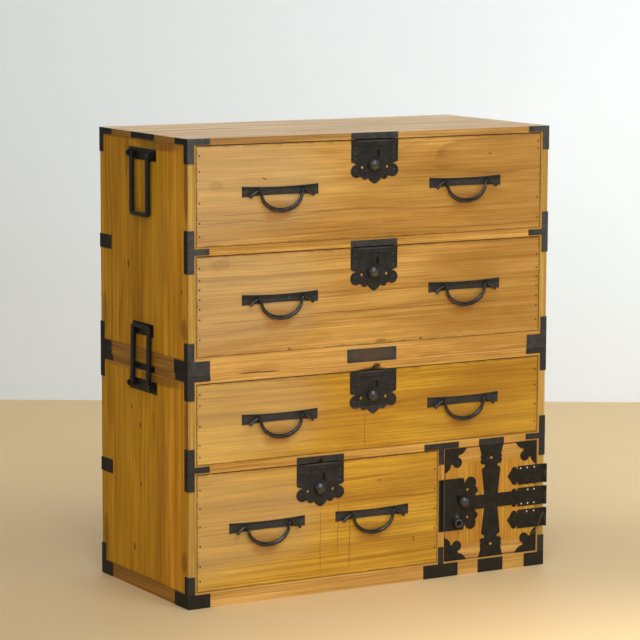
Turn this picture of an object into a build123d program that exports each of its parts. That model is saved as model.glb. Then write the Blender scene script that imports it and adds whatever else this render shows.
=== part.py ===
from build123d import *
from dataclasses import dataclass
from math import cos, radians, sin
import os

# Isho clothing chest: two stacked sections of iron-bound boards, four locking drawers, and a small
# iron-bound door that hides two inner drawers.
# Millimetres. +Z is up, +X is to the right of someone who faces the drawers, and they stand at -Y.
# The origin is the middle of the footprint, on the floor.

os.makedirs("parts", exist_ok=True)

# ---------------------------------------------------------------- driving dimensions: the two cases
case_width = 960.0
case_depth = 440.0
side_thick = 20.0
back_thick = 8.0
back_board_count = 3
seam = 0.15
sill_height = 33.0
rail_depth = 35.0
shelf_thick = 10.0
floor_board = 10.0
bearer_width = 40.0

upper_base_height = 40.0
upper_rail_height = 19.0
upper_top_thick = 15.0
lower_base_height = 36.0
lower_rail_height = 20.0
lower_top_thick = 19.0

# heights of the openings that the drawers fill, numbered from the top of the chest
drawer_1_opening = 227.0
drawer_2_opening = 227.0
drawer_3_opening = 184.5
drawer_4_opening = 270.5

# ---------------------------------------------------------------- drawers
front_thick = 20.0
front_chamfer = 0.8
box_wall = 12.0
box_bottom = 8.0
box_drop = 6.0
side_gap = 1.0
top_gap = 1.8
run_gap = 0.3
back_gap = 12.0

# ---------------------------------------------------------------- door and what it hides
door_opening_width = 262.0
stile_width = 18.0
door_thick = 18.0
door_gap = 1.2
door_end_board = 38.0
lipping = 3.0
inner_setback = 55.0
inner_shelf_thick = 8.0
inner_wall = 8.0
inner_bottom = 6.0
inner_front_thick = 12.0
pull_radius = 8.0
pull_length = 15.0
pull_neck = 3.5
pull_seat = 6.0
pull_waist = 6.0
pull_rim = 10.5

# ---------------------------------------------------------------- iron sheet on the cases
iron_thick = 1.6
floor_gap = 0.5
edge_leg = 15.0
side_leg = 17.0
top_reach = 55.0
top_side_reach = 60.0
top_height = 13.5
top_drop = 56.0
bottom_reach = 54.0
bottom_side_reach = 66.0
bottom_back_reach = 52.0
bottom_height = 31.5
bottom_rise = 73.0
tee_height = 96.0
tee_reach = 53.0
tee_tongue = 13.5
back_strap_reach = 57.0
back_strap_height = 32.0
back_strap_z = 264.0
back_wrap = 45.0
keeper_rise = 1.0
keeper_height = 14.0
keeper_notch = 8.0
base_plate_width = 131.0
base_plate_height = 31.0
base_plate_x = -4.0
door_strap_width = 70.0
door_strap_height = 15.0
door_tee_width = 95.0
door_tee_leg = 14.0
door_tee_drop = 36.0
door_tee_rise = 37.0
stile_strip_width = 13.0
rub_plate_length = 102.0
rub_plate_height = 28.0
rub_plate_z = 81.0
edge_rub_length = 114.0

# ---------------------------------------------------------------- locks
lock_width = 124.0
lock_shift = 3.0
lock_rise = 57.0
lobe_drop = 14.0
lobe_x = 48.0
lobe_radius = 15.0
small_lobe_x = 25.5
small_lobe_drop = 10.5
small_lobe_radius = 9.5
shoulder_rise = 20.5
slit_rise = 16.0
belly_half = 40.0
belly_depth = 13.0
ogee_half = 17.0
ogee_depth = 17.0
ogee_bulge_out = 0.59
ogee_bulge_down = 0.58
tip_depth = 30.0
eyelet_x = 33.0
eyelet_rise = 8.5
eyelet_radius = 3.7
eyelet_sides = 8
keyhole_x = 10.0
keyhole_y = 20.0
keyhole_radius = 2.8
keyhole_slot = 14.0
keyhole_slot_width = 2.6
key_recess = 12.0
lip_height = 13.0
lip_thick = 0.8

knob_radius = 15.0
knob_height = 19.0
knob_rim = 2.5
knob_facets = 3
knob_standoff = 0.3
spindle_radius = 3.5
running_clearance = 0.05

crank_radius = 8.0
crank_half = 4.5
crank_thick = 2.6
crank_pin_radius = 1.5
crank_clearance = 0.4
crank_start = -30.0
bolt_throw = 8.0
bolt_depth = 1.0
bolt_thick = 3.0
bolt_half_width = 14.0
bolt_tongue_half = 6.0
bolt_slot_clearance = 0.7
bolt_clearance = 1.5
bolt_tail = 3.0
bolt_head = 11.0
lock_pocket_depth = 9.0

door_lock_shift = -5.0
door_lobe_drop = 20.0
door_small_lobe_x = 30.0
door_lock_rise = 55.0
door_keyhole_x = 4.4
door_keyhole_y = 15.5
door_keyhole_turn = -90.0
door_lock_overhang = 3.0
stub_radius = 9.5
stub_mouth_radius = 10.5
stub_wall = 3.0
stub_out = 12.0
stub_drop = 11.5
stub_floor = 0.3
stub_x = -34.0
stub_y = 18.5

# ---------------------------------------------------------------- drawer bails
handle_offset = 246.5
drawer_4_handle_offset = 139.0
handle_1_rise = 121.0
handle_2_rise = 124.0
handle_3_rise = 96.5
handle_4_rise = 141.0
plate_length = 196.0
plate_end = 24.0
plate_waist = 17.5
plate_drop = 1.5
pivot_half = 58.5
pivot_out = 8.5
bail_drop = 45.5
bail_tip_reach = 25.0
bail_tip_drop = 15.0
bail_grip_radius = 5.6
bail_limb_radius = 4.3
bail_eye_radius = 3.2
bail_tip_radius = 4.4
bail_flat = 2.6
bail_dip = 0.4
bail_sides = 8
bail_bow_out = 0.52
bail_bow_drop = 0.85
bail_limb_out = 0.86
bail_limb_drop = 0.42
bail_headings = [(1, 0), (0.86, 0.5), (0.42, 0.9), (1, 0.25), (1, -0.25), (0.75, -0.66)]
bail_bow_radius = 4.9
bail_stations = [(0.0, bail_grip_radius), (0.15, bail_grip_radius), (0.32, bail_bow_radius),
                 (0.5, bail_limb_radius), (0.64, bail_eye_radius), (0.711, bail_eye_radius),
                 (0.758, bail_eye_radius), (0.84, bail_eye_radius), (1.0, bail_tip_radius)]
eye_clearance = 0.8
eye_wall = 2.4
eye_width = 3.2
eye_sides = 8

# ---------------------------------------------------------------- carrying loops
loop_pivot_z = 480.5
loop_pivot_out = 8.3
loop_half = 47.0
loop_leg = 14.0
loop_bar = 9.0
loop_thick = 7.6
loop_length = 141.0
loop_corner = 11.0
loop_chamfer = 1.4
loop_lean = 1.0
loop_pin_radius = 4.0
loop_stub = 18.0
loop_eye_width = 7.0
loop_eye_gap = 3.0
loop_eye_wall = 2.9
loop_plate_length = 135.0
loop_plate_height = 27.0
loop_plate_thick = 2.0

# ---------------------------------------------------------------- door irons and hinges
cross_end_half = 34.0
cross_flare_half = 28.0
cross_flare_depth = 20.0
cross_neck_half = 17.0
cross_neck_depth = 50.0
cross_shoulder_half = 26.0
cross_shoulder_depth = 56.0
cross_waist_half = 19.0
cross_bar_height = 33.0
cross_lobe_radius = 7.0
cross_lobe_x = 23.0
cross_lobe_depth = 38.0
cross_rib_depth = 27.0
cross_hole_depth = 30.0
cross_hole_x = 5.0
cross_hole_y = 3.4
iron_clearance = 3.0
corner_reach = 60.0
corner_drop = 57.0
corner_notch_far = 40.0
corner_notch_near = 17.0
corner_swell = 1.8
corner_lobe = 34.0
corner_lobe_radius = 12.5
notch_radius = 2.3
notch_sides = 6
hinge_height = 45.0
hinge_spacing = 53.2
hinge_tip = 107.0
hinge_lobe = 88.0
hinge_lobe_radius = 7.5
hinge_lobe_spread = 14.5
hinge_cheek_out = 0.7
hinge_cheek_rise = 0.55
hinge_neck = 78.0
hinge_neck_half = 16.0
hinge_side_reach = 58.0
knuckle_count = 3
knuckle_radius = 4.0
knuckle_out_x = 3.4
knuckle_out_y = 2.6
knuckle_gap = 0.4
pin_radius = 1.6

# ---------------------------------------------------------------- places worked out from those
half_width = case_width / 2
half_depth = case_depth / 2
inner_half = half_width - side_thick
back_inside = half_depth - back_thick
rail_back = rail_depth - half_depth

lower_rail_z = lower_base_height + drawer_4_opening
lower_shelf_z = lower_rail_z + lower_rail_height
lower_ceiling_z = lower_shelf_z + drawer_3_opening
lower_height = lower_ceiling_z + lower_top_thick

upper_floor_z = lower_height + upper_base_height
upper_rail_z = upper_floor_z + drawer_2_opening
upper_shelf_z = upper_rail_z + upper_rail_height
upper_ceiling_z = upper_shelf_z + drawer_1_opening
total_height = upper_ceiling_z + upper_top_thick

stile_right = inner_half - door_opening_width
stile_left = stile_right - stile_width
stile_x = (stile_left + stile_right) / 2

door_left = stile_right + door_gap
door_right = inner_half - door_gap
door_low = lower_base_height + door_gap
door_high = lower_rail_z - door_gap
door_x = (door_left + door_right) / 2
door_z = (door_low + door_high) / 2

hinge_x = half_width + knuckle_out_x
hinge_y = -half_depth - knuckle_out_y
hinge_levels = [door_z - hinge_spacing, door_z, door_z + hinge_spacing]

front_face = Plane.XZ.offset(half_depth)
right_face = Plane(origin=(half_width, 0, 0), x_dir=(0, 1, 0), z_dir=(1, 0, 0))
back_face = Plane(origin=(0, half_depth, 0), x_dir=(-1, 0, 0), z_dir=(0, 1, 0))
bolt_reach = bolt_depth + bolt_thick + bolt_clearance


def write(piece, label):
    """Label a finished piece and write it as one STEP file."""
    piece.part.label = label
    export_step(piece.part, f"parts/{label}.step")


def middle(span):
    """The middle of a (low, high) span."""
    return (span[0] + span[1]) / 2


def board(x, y, z):
    """One board, filling three (low, high) spans."""
    with Locations((middle(x), middle(y), middle(z))):
        Box(x[1] - x[0], y[1] - y[0], z[1] - z[0])


def patch(across, up, mode=Mode.ADD):
    """One rectangle of a sketch, filling two (low, high) spans."""
    with Locations((middle(across), middle(up))):
        Rectangle(across[1] - across[0], up[1] - up[0], mode=mode)


def flat_iron(face, patches, thick=iron_thick):
    """Sheet iron on a face: the union of rectangles, each given as (across, up) spans."""
    with BuildSketch(face) as shape:
        for across, up in patches:
            patch(across, up)
    extrude(shape.sketch, amount=thick)


# ---------------------------------------------------------------- locks
@dataclass
class Lock:
    """A lock seen from the front: local X runs along its bolted edge, and local Y points to it."""

    plane: Plane
    shift: float
    rise: float
    edge: float
    gap: float
    lobe_drop: float
    small_x: float
    keyhole: Location

    @property
    def plate(self):
        """The front plane, centred on the plate's own middle line."""
        origin = self.plane.origin + self.plane.x_dir * self.shift
        return Plane(origin=origin, x_dir=self.plane.x_dir, z_dir=self.plane.z_dir)


def cut_lock_pocket(lock):
    """Mortise for the bolt plate and crank, channel for the tongue, and room for the key."""
    reach = bolt_half_width + bolt_clearance
    low = -bolt_head - bolt_throw
    high = bolt_head + bolt_throw + bolt_clearance
    channel = bolt_tongue_half + bolt_clearance
    with BuildSketch(lock.plane) as shape:
        patch((-reach, reach), (low, high))
        with Locations((lock.shift, 0)):
            with Locations(lock.keyhole):
                with Locations((0, keyhole_slot / 2)):
                    Rectangle(key_recess, key_recess + keyhole_slot)
    extrude(shape.sketch, amount=-lock_pocket_depth, mode=Mode.SUBTRACT)
    with BuildSketch(lock.plane) as shape:
        patch((-channel, channel), (high - seam, lock.edge))
    extrude(shape.sketch, amount=-bolt_reach, mode=Mode.SUBTRACT)


def cut_keeper(lock):
    """Mortise that takes the thrown bolt, in the board beside the drawer front or the door."""
    channel = bolt_tongue_half + bolt_clearance
    with BuildSketch(lock.plane) as shape:
        patch((-channel, channel), (lock.edge, lock.edge + bolt_throw + bolt_clearance))
    extrude(shape.sketch, amount=-bolt_reach, mode=Mode.SUBTRACT)


def lock_field(lock):
    """Outline that every lock plate shares: a shouldered field over two pairs of round lobes."""
    half = lock_width / 2
    shoulder = shoulder_rise - lock.lobe_drop
    slit = slit_rise - lock.lobe_drop
    belly = -lock.lobe_drop - belly_depth
    with BuildLine() as outline:
        Polyline((-half, lock.rise), (half, lock.rise), (half, shoulder), (lobe_x, slit),
                 (belly_half, belly), (-belly_half, belly), (-lobe_x, slit), (-half, shoulder), close=True)
    make_face(outline.line)
    for side in (-1, 1):
        with Locations((side * lobe_x, -lock.lobe_drop)):
            Circle(lobe_radius)
        with Locations((side * lock.small_x, -lock.lobe_drop - small_lobe_drop)):
            Circle(small_lobe_radius)


def lock_ogee(lock):
    """The pointed ogee below a drawer's lock plate."""
    start = -lock.lobe_drop - ogee_depth
    tip = -lock.lobe_drop - tip_depth
    bulge_x = ogee_half * ogee_bulge_out
    bulge_y = start + (tip - start) * ogee_bulge_down
    with BuildLine() as outline:
        Polyline((-ogee_half, start), (-lock.small_x, -lock.lobe_drop), (lock.small_x, -lock.lobe_drop),
                 (ogee_half, start))
        ThreePointArc((ogee_half, start), (bulge_x, bulge_y), (0, tip))
        ThreePointArc((0, tip), (-bulge_x, bulge_y), (-ogee_half, start))
    make_face(outline.line)


def lock_holes(lock):
    """Bearing hole for the spindle, keyhole, and the two pierced eyelets."""
    with Locations((-lock.shift, 0)):
        Circle(spindle_radius + running_clearance, mode=Mode.SUBTRACT)
    with Locations((-eyelet_x, eyelet_rise - lock.lobe_drop), (eyelet_x, eyelet_rise - lock.lobe_drop)):
        RegularPolygon(eyelet_radius, eyelet_sides, mode=Mode.SUBTRACT)
    with Locations(lock.keyhole):
        RegularPolygon(keyhole_radius, notch_sides, mode=Mode.SUBTRACT)
        with Locations((keyhole_radius - keyhole_slot_width / 2, keyhole_slot / 2)):
            Rectangle(keyhole_slot_width, keyhole_slot, mode=Mode.SUBTRACT)


def lock_plate(lock, has_lip):
    """A drawer's lock plate: cusped lobes and a pointed ogee, with or without a folded top lip."""
    with BuildSketch(lock.plate) as shape:
        lock_field(lock)
        lock_ogee(lock)
        lock_holes(lock)
    extrude(shape.sketch, amount=iron_thick)
    if has_lip:
        with BuildSketch(lock.plate.offset(iron_thick)) as shape:
            patch((-lock_width / 2, lock_width / 2), (lock.rise - lip_height, lock.rise))
        extrude(shape.sketch, amount=lip_thick)


def lock_knob(lock):
    """A domed knob on a spindle, with the crank arm and pin that move the bolt."""
    plane = lock.plane
    profile = Plane(origin=plane.origin, x_dir=plane.x_dir, z_dir=plane.x_dir.cross(plane.z_dir))
    base = iron_thick + knob_standoff
    crown = base + knob_rim
    rise = knob_height - crown
    turns = [radians(90 * step / knob_facets) for step in range(knob_facets + 1)]
    arm_front = -(bolt_depth + bolt_thick + crank_clearance)
    arm_back = arm_front - crank_thick
    with BuildSketch(profile) as shape:
        with BuildLine():
            Polyline((0, knob_height), (0, arm_back), (spindle_radius, arm_back), (spindle_radius, base),
                     (knob_radius, base),
                     *[(knob_radius * cos(turn), crown + rise * sin(turn)) for turn in turns])
        make_face()
    revolve(shape.sketch, axis=Axis(plane.origin, plane.z_dir))
    pin = (crank_radius * cos(radians(crank_start)), crank_radius * sin(radians(crank_start)))
    with BuildSketch(plane.offset(arm_front)) as shape:
        with Locations((pin[0] / 2, pin[1] / 2)):
            Rectangle(crank_radius + 2 * crank_half, 2 * crank_half, rotation=crank_start)
    extrude(shape.sketch, amount=-crank_thick)
    with BuildSketch(plane.offset(arm_front)) as shape:
        with Locations(pin):
            Circle(crank_pin_radius)
    extrude(shape.sketch, amount=-arm_front - bolt_depth)


def lock_bolt(lock):
    """The sliding bolt: a slotted plate behind the lock plate, its tongue ending at the edge."""
    slot = spindle_radius + bolt_slot_clearance
    pin_y = crank_radius * sin(radians(crank_start))
    pin_half = crank_pin_radius + crank_clearance
    pin_end = crank_radius + 2 * pin_half
    with BuildSketch(lock.plane.offset(-bolt_depth)) as shape:
        patch((-bolt_half_width, bolt_half_width), (-slot - bolt_throw - bolt_tail, bolt_head))
        patch((-bolt_tongue_half, bolt_tongue_half), (0, lock.edge))
        patch((-slot, slot), (-slot - bolt_throw, slot), mode=Mode.SUBTRACT)
        patch((0, pin_end), (pin_y - pin_half, pin_y + pin_half), mode=Mode.SUBTRACT)
    extrude(shape.sketch, amount=-bolt_thick)


# ---------------------------------------------------------------- handles, bails and loops
def ring_eye(plane, reach, bore, wall, width):
    """A forged, faceted eye: a ring at the plane's origin, with two legs back to its plate."""
    with BuildSketch(plane) as shape:
        patch((-reach, 0), (-bore, bore))
        RegularPolygon(bore + wall, eye_sides)
        patch((-reach - bore - wall, -reach), (-bore - wall, bore + wall), mode=Mode.SUBTRACT)
        RegularPolygon(bore, eye_sides, mode=Mode.SUBTRACT)
    extrude(shape.sketch, amount=width / 2, both=True)


def handle_plate(x, z):
    """A waisted back plate with the two eyes that carry a bail."""
    end = plate_end / 2
    waist = plate_waist / 2
    half = plate_length / 2
    with BuildSketch(Plane((x, -half_depth, z - plate_drop), x_dir=(1, 0, 0), z_dir=(0, -1, 0))) as shape:
        with BuildLine():
            ThreePointArc((-half, end), (0, waist), (half, end))
            Line((half, end), (half, -end))
            ThreePointArc((half, -end), (0, -waist), (-half, -end))
            Line((-half, -end), (-half, end))
        make_face()
    extrude(shape.sketch, amount=iron_thick)
    for side in (-1, 1):
        centre = (x + side * pivot_half, -half_depth - pivot_out, z)
        eye = Plane(origin=centre, x_dir=(0, -1, 0), z_dir=(1, 0, 0))
        ring_eye(eye, pivot_out - iron_thick / 2, bail_eye_radius + eye_clearance, eye_wall, eye_width)


def bail(x, z):
    """A forged bail: thick at the grip, thin where it hangs in the eyes, with blunt turned-out tips."""
    with BuildLine() as limb:
        Spline((0, -bail_drop), (pivot_half * bail_bow_out, -bail_drop * bail_bow_drop),
               (pivot_half * bail_limb_out, -bail_drop * bail_limb_drop),
               (pivot_half - bail_flat, -bail_dip), (pivot_half + bail_flat, -bail_dip),
               (pivot_half + bail_tip_reach, -bail_tip_drop),
               tangents=bail_headings)
    sections = []
    for place, radius in bail_stations:
        spot = limb.line @ place
        heading = limb.line % place
        origin = (x + spot.X, -half_depth - pivot_out, z + spot.Y)
        with BuildSketch(Plane(origin=origin, x_dir=(0, 1, 0), z_dir=(heading.X, 0, heading.Y))) as section:
            RegularPolygon(radius, bail_sides)
        sections.append(section.sketch)
    loft(sections, ruled=True)
    mirror(about=Plane.YZ.offset(x))


def loop_plane(side, z, raised):
    """Plane of a carrying loop at its pivot. The loop always lies towards local -Y."""
    lean = radians(loop_lean) if raised else 0.0
    across = -side if raised else side
    origin = (side * (half_width + loop_pivot_out), 0, z)
    return Plane(origin=origin, x_dir=(0, across, 0), z_dir=(side * cos(lean), 0, sin(lean)))


def carrying_loop(plane):
    """A U-shaped loop of flat bar, with round pins that turn outward at the ends of its legs."""
    inner = loop_half - loop_leg
    with BuildSketch(plane.offset(-loop_thick / 2)) as outline:
        patch((-loop_half, loop_half), (-loop_length, 0))
        fillet(outline.vertices().group_by(Axis.Y)[0], loop_corner)
        patch((-inner, inner), (loop_bar - loop_length, loop_half), mode=Mode.SUBTRACT)
    bar = extrude(outline.sketch, amount=loop_thick)
    faces = bar.faces().sort_by(Axis(plane.origin, plane.z_dir))
    chamfer(faces[0].edges() + faces[-1].edges(), loop_chamfer)
    for side in (-1, 1):
        start = plane.origin + plane.x_dir * side * inner
        with BuildSketch(Plane(origin=start, x_dir=plane.z_dir, z_dir=plane.x_dir * side)) as shape:
            Circle(loop_pin_radius)
        extrude(shape.sketch, amount=loop_leg + loop_stub)


def loop_mount(z):
    """Plate on the right side with the two eyes that carry a loop."""
    with BuildSketch(right_face) as shape:
        with Locations((0, z)):
            Rectangle(loop_plate_length, loop_plate_height)
    extrude(shape.sketch, amount=loop_plate_thick)
    for end in (-1, 1):
        y = end * (loop_half + loop_eye_gap + loop_eye_width / 2)
        eye = Plane(origin=(half_width + loop_pivot_out, y, z), x_dir=(1, 0, 0), z_dir=(0, -1, 0))
        ring_eye(eye, loop_pivot_out - loop_plate_thick / 2, loop_pin_radius + eye_clearance, loop_eye_wall,
                 loop_eye_width)


# ---------------------------------------------------------------- drawers
@dataclass
class Drawer:
    """One locking drawer: the opening that it fills and where its irons sit on the front."""

    name: str
    x: tuple
    z: tuple
    handle_offset: float
    handle_rise: float
    has_lip: bool

    @property
    def front_x(self):
        return (self.x[0] + side_gap, self.x[1] - side_gap)

    @property
    def front_z(self):
        return (self.z[0] + run_gap, self.z[1] - top_gap)

    @property
    def handle_z(self):
        return self.z[0] + self.handle_rise

    @property
    def lock(self):
        origin = (middle(self.x) - lock_shift, -half_depth, self.front_z[1] - lock_rise)
        plane = Plane(origin=origin, x_dir=(1, 0, 0), z_dir=(0, -1, 0))
        keyhole = Location((keyhole_x, keyhole_y, 0))
        return Lock(plane, lock_shift, lock_rise, lock_rise, top_gap, lobe_drop, small_lobe_x, keyhole)


full_span = (-inner_half, inner_half)
left_span = (-inner_half, stile_left)
drawer_1 = Drawer("drawer_1", full_span, (upper_shelf_z, upper_ceiling_z), handle_offset, handle_1_rise, True)
drawer_2 = Drawer("drawer_2", full_span, (upper_floor_z, upper_rail_z), handle_offset, handle_2_rise, True)
drawer_3 = Drawer("drawer_3", full_span, (lower_shelf_z, lower_ceiling_z), handle_offset,
                  handle_3_rise, False)
drawer_4 = Drawer("drawer_4", left_span, (lower_base_height, lower_rail_z), drawer_4_handle_offset,
                  handle_4_rise, False)

door_lock_plane = Plane(origin=(door_left + door_lock_rise - door_lock_overhang, -half_depth,
                                door_z - door_lock_shift), x_dir=(0, 0, 1), z_dir=(0, -1, 0))
door_keyhole = Location((door_keyhole_x, door_keyhole_y, 0), (0, 0, door_keyhole_turn))
door_lock = Lock(door_lock_plane, door_lock_shift, door_lock_rise, door_lock_rise - door_lock_overhang,
                 door_gap, door_lobe_drop, door_small_lobe_x, door_keyhole)


def drawer_box(x, y, z, wall, bottom):
    """Two sides, a back between them and a bottom between all three, behind a drawer front."""
    low_side = (x[0], x[0] + wall)
    high_side = (x[1] - wall, x[1])
    between = (low_side[1] + seam, high_side[0] - seam)
    board(low_side, y, z)
    board(high_side, y, z)
    board(between, y, (z[0], z[0] + bottom))
    board(between, (y[1] - wall, y[1]), (z[0] + bottom + seam, z[1]))


for drawer in (drawer_1, drawer_2, drawer_3, drawer_4):
    with BuildPart() as drawer_front:
        board(drawer.front_x, (-half_depth, front_thick - half_depth), drawer.front_z)
        chamfer(drawer_front.faces().sort_by(Axis.Y)[0].edges(), front_chamfer)
        cut_lock_pocket(drawer.lock)
    write(drawer_front, f"{drawer.name}_front")

    with BuildPart() as box:
        drawer_box(drawer.front_x, (front_thick - half_depth, back_inside - back_gap),
                   (drawer.front_z[0], drawer.front_z[1] - box_drop), box_wall, box_bottom)
    write(box, f"{drawer.name}_box")

    with BuildPart() as irons:
        lock_plate(drawer.lock, drawer.has_lip)
        handle_plate(middle(drawer.x) - drawer.handle_offset, drawer.handle_z)
        handle_plate(middle(drawer.x) + drawer.handle_offset, drawer.handle_z)
    write(irons, f"{drawer.name}_irons")

    with BuildPart() as knob:
        lock_knob(drawer.lock)
    write(knob, f"{drawer.name}_lock_knob")

    with BuildPart() as bolt:
        lock_bolt(drawer.lock)
    write(bolt, f"{drawer.name}_lock_bolt")

    with BuildPart() as left_bail:
        bail(middle(drawer.x) - drawer.handle_offset, drawer.handle_z)
    write(left_bail, f"{drawer.name}_left_bail")

    with BuildPart() as right_bail:
        bail(middle(drawer.x) + drawer.handle_offset, drawer.handle_z)
    write(right_bail, f"{drawer.name}_right_bail")


# ---------------------------------------------------------------- case boards
def side_boards(z):
    """Both side boards, standing on the sills."""
    board((inner_half, half_width), (-half_depth, half_depth), z)
    mirror(about=Plane.YZ)


def base_boards(z0, height, bearers):
    """Plinth: rails front and back, sills at the sides, floor boards, and bearers under the drawers."""
    front_to_back = (rail_back + seam, -rail_back - seam)
    board((seam - inner_half, inner_half - seam), (-half_depth, rail_back), (z0, z0 + height))
    board((seam - inner_half, inner_half - seam), (-rail_back, half_depth), (z0, z0 + height))
    board((inner_half, half_width), (-half_depth, half_depth), (z0, z0 + sill_height))
    board((-half_width, -inner_half), (-half_depth, half_depth), (z0, z0 + sill_height))
    board((seam - inner_half, inner_half - seam), front_to_back, (z0, z0 + floor_board))
    for x in bearers:
        board((x, x + bearer_width), front_to_back, (z0 + floor_board + seam, z0 + height))


def back_boards(z):
    """Upright boards that close the back between the sides."""
    width = 2 * inner_half / back_board_count
    for index in range(back_board_count):
        x = index * width - inner_half
        board((x + seam, x + width - seam), (back_inside, half_depth), z)


def rail_boards(z, height):
    """A rail between two drawers, with the dust board that carries the upper one behind it."""
    board(full_span, (-half_depth, rail_back), (z, z + height))
    board(full_span, (rail_back + seam, back_inside), (z + height - shelf_thick, z + height))


# ---------------------------------------------------------------- irons on the cases
def case_irons(z0, z1, tee_z):
    """Right-hand irons of a case, each wrapped round an edge, then mirrored to the left."""
    low = z0 + floor_gap
    edge = half_width + iron_thick
    behind = half_depth + iron_thick
    tee = (tee_z - tee_height / 2, tee_z + tee_height / 2)
    tongue = (tee_z - tee_tongue / 2, tee_z + tee_tongue / 2)
    strap = (z0 + back_strap_z - back_strap_height / 2, z0 + back_strap_z + back_strap_height / 2)
    flat_iron(front_face, [
        ((half_width - top_reach, edge), (z1 - top_height, z1)),
        ((half_width - edge_leg, edge), (z1 - top_drop, z1)),
        ((half_width - edge_leg, edge), tee),
        ((half_width - tee_reach, edge), tongue),
        ((half_width - bottom_reach, edge), (low, low + bottom_height)),
        ((half_width - edge_leg, edge), (low, low + bottom_rise)),
    ])
    flat_iron(right_face, [
        ((-half_depth, top_side_reach - half_depth), (z1 - top_height, z1)),
        ((-half_depth, side_leg - half_depth), (z1 - top_drop, z1)),
        ((-half_depth, side_leg - half_depth), tee),
        ((-half_depth, bottom_side_reach - half_depth), (low, low + bottom_height)),
        ((-half_depth, side_leg - half_depth), (low, low + bottom_rise)),
        ((half_depth - top_side_reach, behind), (z1 - top_height, z1)),
        ((half_depth - side_leg, behind), (z1 - top_drop, z1)),
        ((half_depth - back_strap_reach, behind), strap),
        ((half_depth - bottom_back_reach, behind), (low, low + bottom_height)),
        ((half_depth - side_leg, behind), (low, low + bottom_rise)),
        ((-edge_rub_length / 2, edge_rub_length / 2), (z1 - top_height, z1)),
    ])
    flat_iron(back_face, [
        ((-half_width, back_wrap - half_width), (z1 - top_height, z1)),
        ((-half_width, back_wrap - half_width), strap),
        ((-half_width, back_wrap - half_width), (low, low + bottom_height)),
    ])
    mirror(about=Plane.YZ)


def keeper_strap(lock, notched):
    """Strap over the bolt's mortise, on the board above a drawer. One is worn open over the bolt."""
    low = lock.edge + lock.gap + keeper_rise
    with BuildSketch(lock.plate) as shape:
        patch((-lock_width / 2, lock_width / 2), (low, low + keeper_height))
        if notched:
            with Locations((0, low)):
                Circle(keeper_notch, mode=Mode.SUBTRACT)
    extrude(shape.sketch, amount=iron_thick)


# ---------------------------------------------------------------- upper case
with BuildPart() as upper_sides:
    side_boards((lower_height + sill_height, upper_ceiling_z))
write(upper_sides, "upper_sides")

with BuildPart() as upper_top:
    board((-half_width, half_width), (-half_depth, half_depth), (upper_ceiling_z, total_height))
    cut_keeper(drawer_1.lock)
write(upper_top, "upper_top")

with BuildPart() as upper_base:
    base_boards(lower_height, upper_base_height, [-inner_half + seam, inner_half - bearer_width - seam])
write(upper_base, "upper_base")

with BuildPart() as upper_back:
    back_boards((upper_floor_z, upper_ceiling_z))
write(upper_back, "upper_back")

with BuildPart() as upper_rail:
    rail_boards(upper_rail_z, upper_rail_height)
    cut_keeper(drawer_2.lock)
write(upper_rail, "upper_rail")

with BuildPart() as upper_irons:
    case_irons(lower_height, total_height, (upper_rail_z + upper_shelf_z) / 2)
    flat_iron(right_face, [((-rub_plate_length / 2, rub_plate_length / 2),
                            (lower_height + rub_plate_z - rub_plate_height / 2,
                             lower_height + rub_plate_z + rub_plate_height / 2))])
    mirror(about=Plane.YZ)
    flat_iron(front_face, [((base_plate_x - base_plate_width / 2, base_plate_x + base_plate_width / 2),
                            (lower_height + floor_gap, lower_height + floor_gap + base_plate_height))])
    keeper_strap(drawer_1.lock, False)
    keeper_strap(drawer_2.lock, False)
write(upper_irons, "upper_irons")

with BuildPart() as upper_loop_mounts:
    loop_mount(lower_height + loop_pivot_z)
    mirror(about=Plane.YZ)
write(upper_loop_mounts, "upper_loop_mounts")

with BuildPart() as upper_left_loop:
    carrying_loop(loop_plane(-1, lower_height + loop_pivot_z, False))
write(upper_left_loop, "upper_left_loop")

with BuildPart() as upper_right_loop:
    carrying_loop(loop_plane(1, lower_height + loop_pivot_z, False))
write(upper_right_loop, "upper_right_loop")

# ---------------------------------------------------------------- lower case
partition_back = (rail_back + seam, back_inside)
partition_top = lower_shelf_z - shelf_thick
inner_shelf_z = lower_base_height + (drawer_4_opening - inner_shelf_thick) / 2

with BuildPart() as lower_sides:
    side_boards((sill_height, lower_ceiling_z))
write(lower_sides, "lower_sides")

with BuildPart() as lower_top:
    board((-half_width, half_width), (-half_depth, half_depth), (lower_ceiling_z, lower_height))
    cut_keeper(drawer_3.lock)
write(lower_top, "lower_top")

with BuildPart() as lower_base:
    base_boards(0, lower_base_height, [-inner_half + seam, stile_left - bearer_width,
                                       stile_right, inner_half - bearer_width - seam])
write(lower_base, "lower_base")

with BuildPart() as lower_back:
    back_boards((lower_base_height, lower_ceiling_z))
write(lower_back, "lower_back")

with BuildPart() as lower_rail:
    rail_boards(lower_rail_z, lower_rail_height)
    cut_keeper(drawer_4.lock)
write(lower_rail, "lower_rail")

with BuildPart() as partition:
    board((stile_left, stile_right), (-half_depth, rail_back), (lower_base_height, lower_rail_z))
    board((stile_left, stile_right), partition_back, (lower_base_height, partition_top))
    board((stile_right + seam, inner_half), (inner_setback - half_depth, back_inside),
          (inner_shelf_z, inner_shelf_z + inner_shelf_thick))
    cut_keeper(door_lock)
write(partition, "partition")

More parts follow.
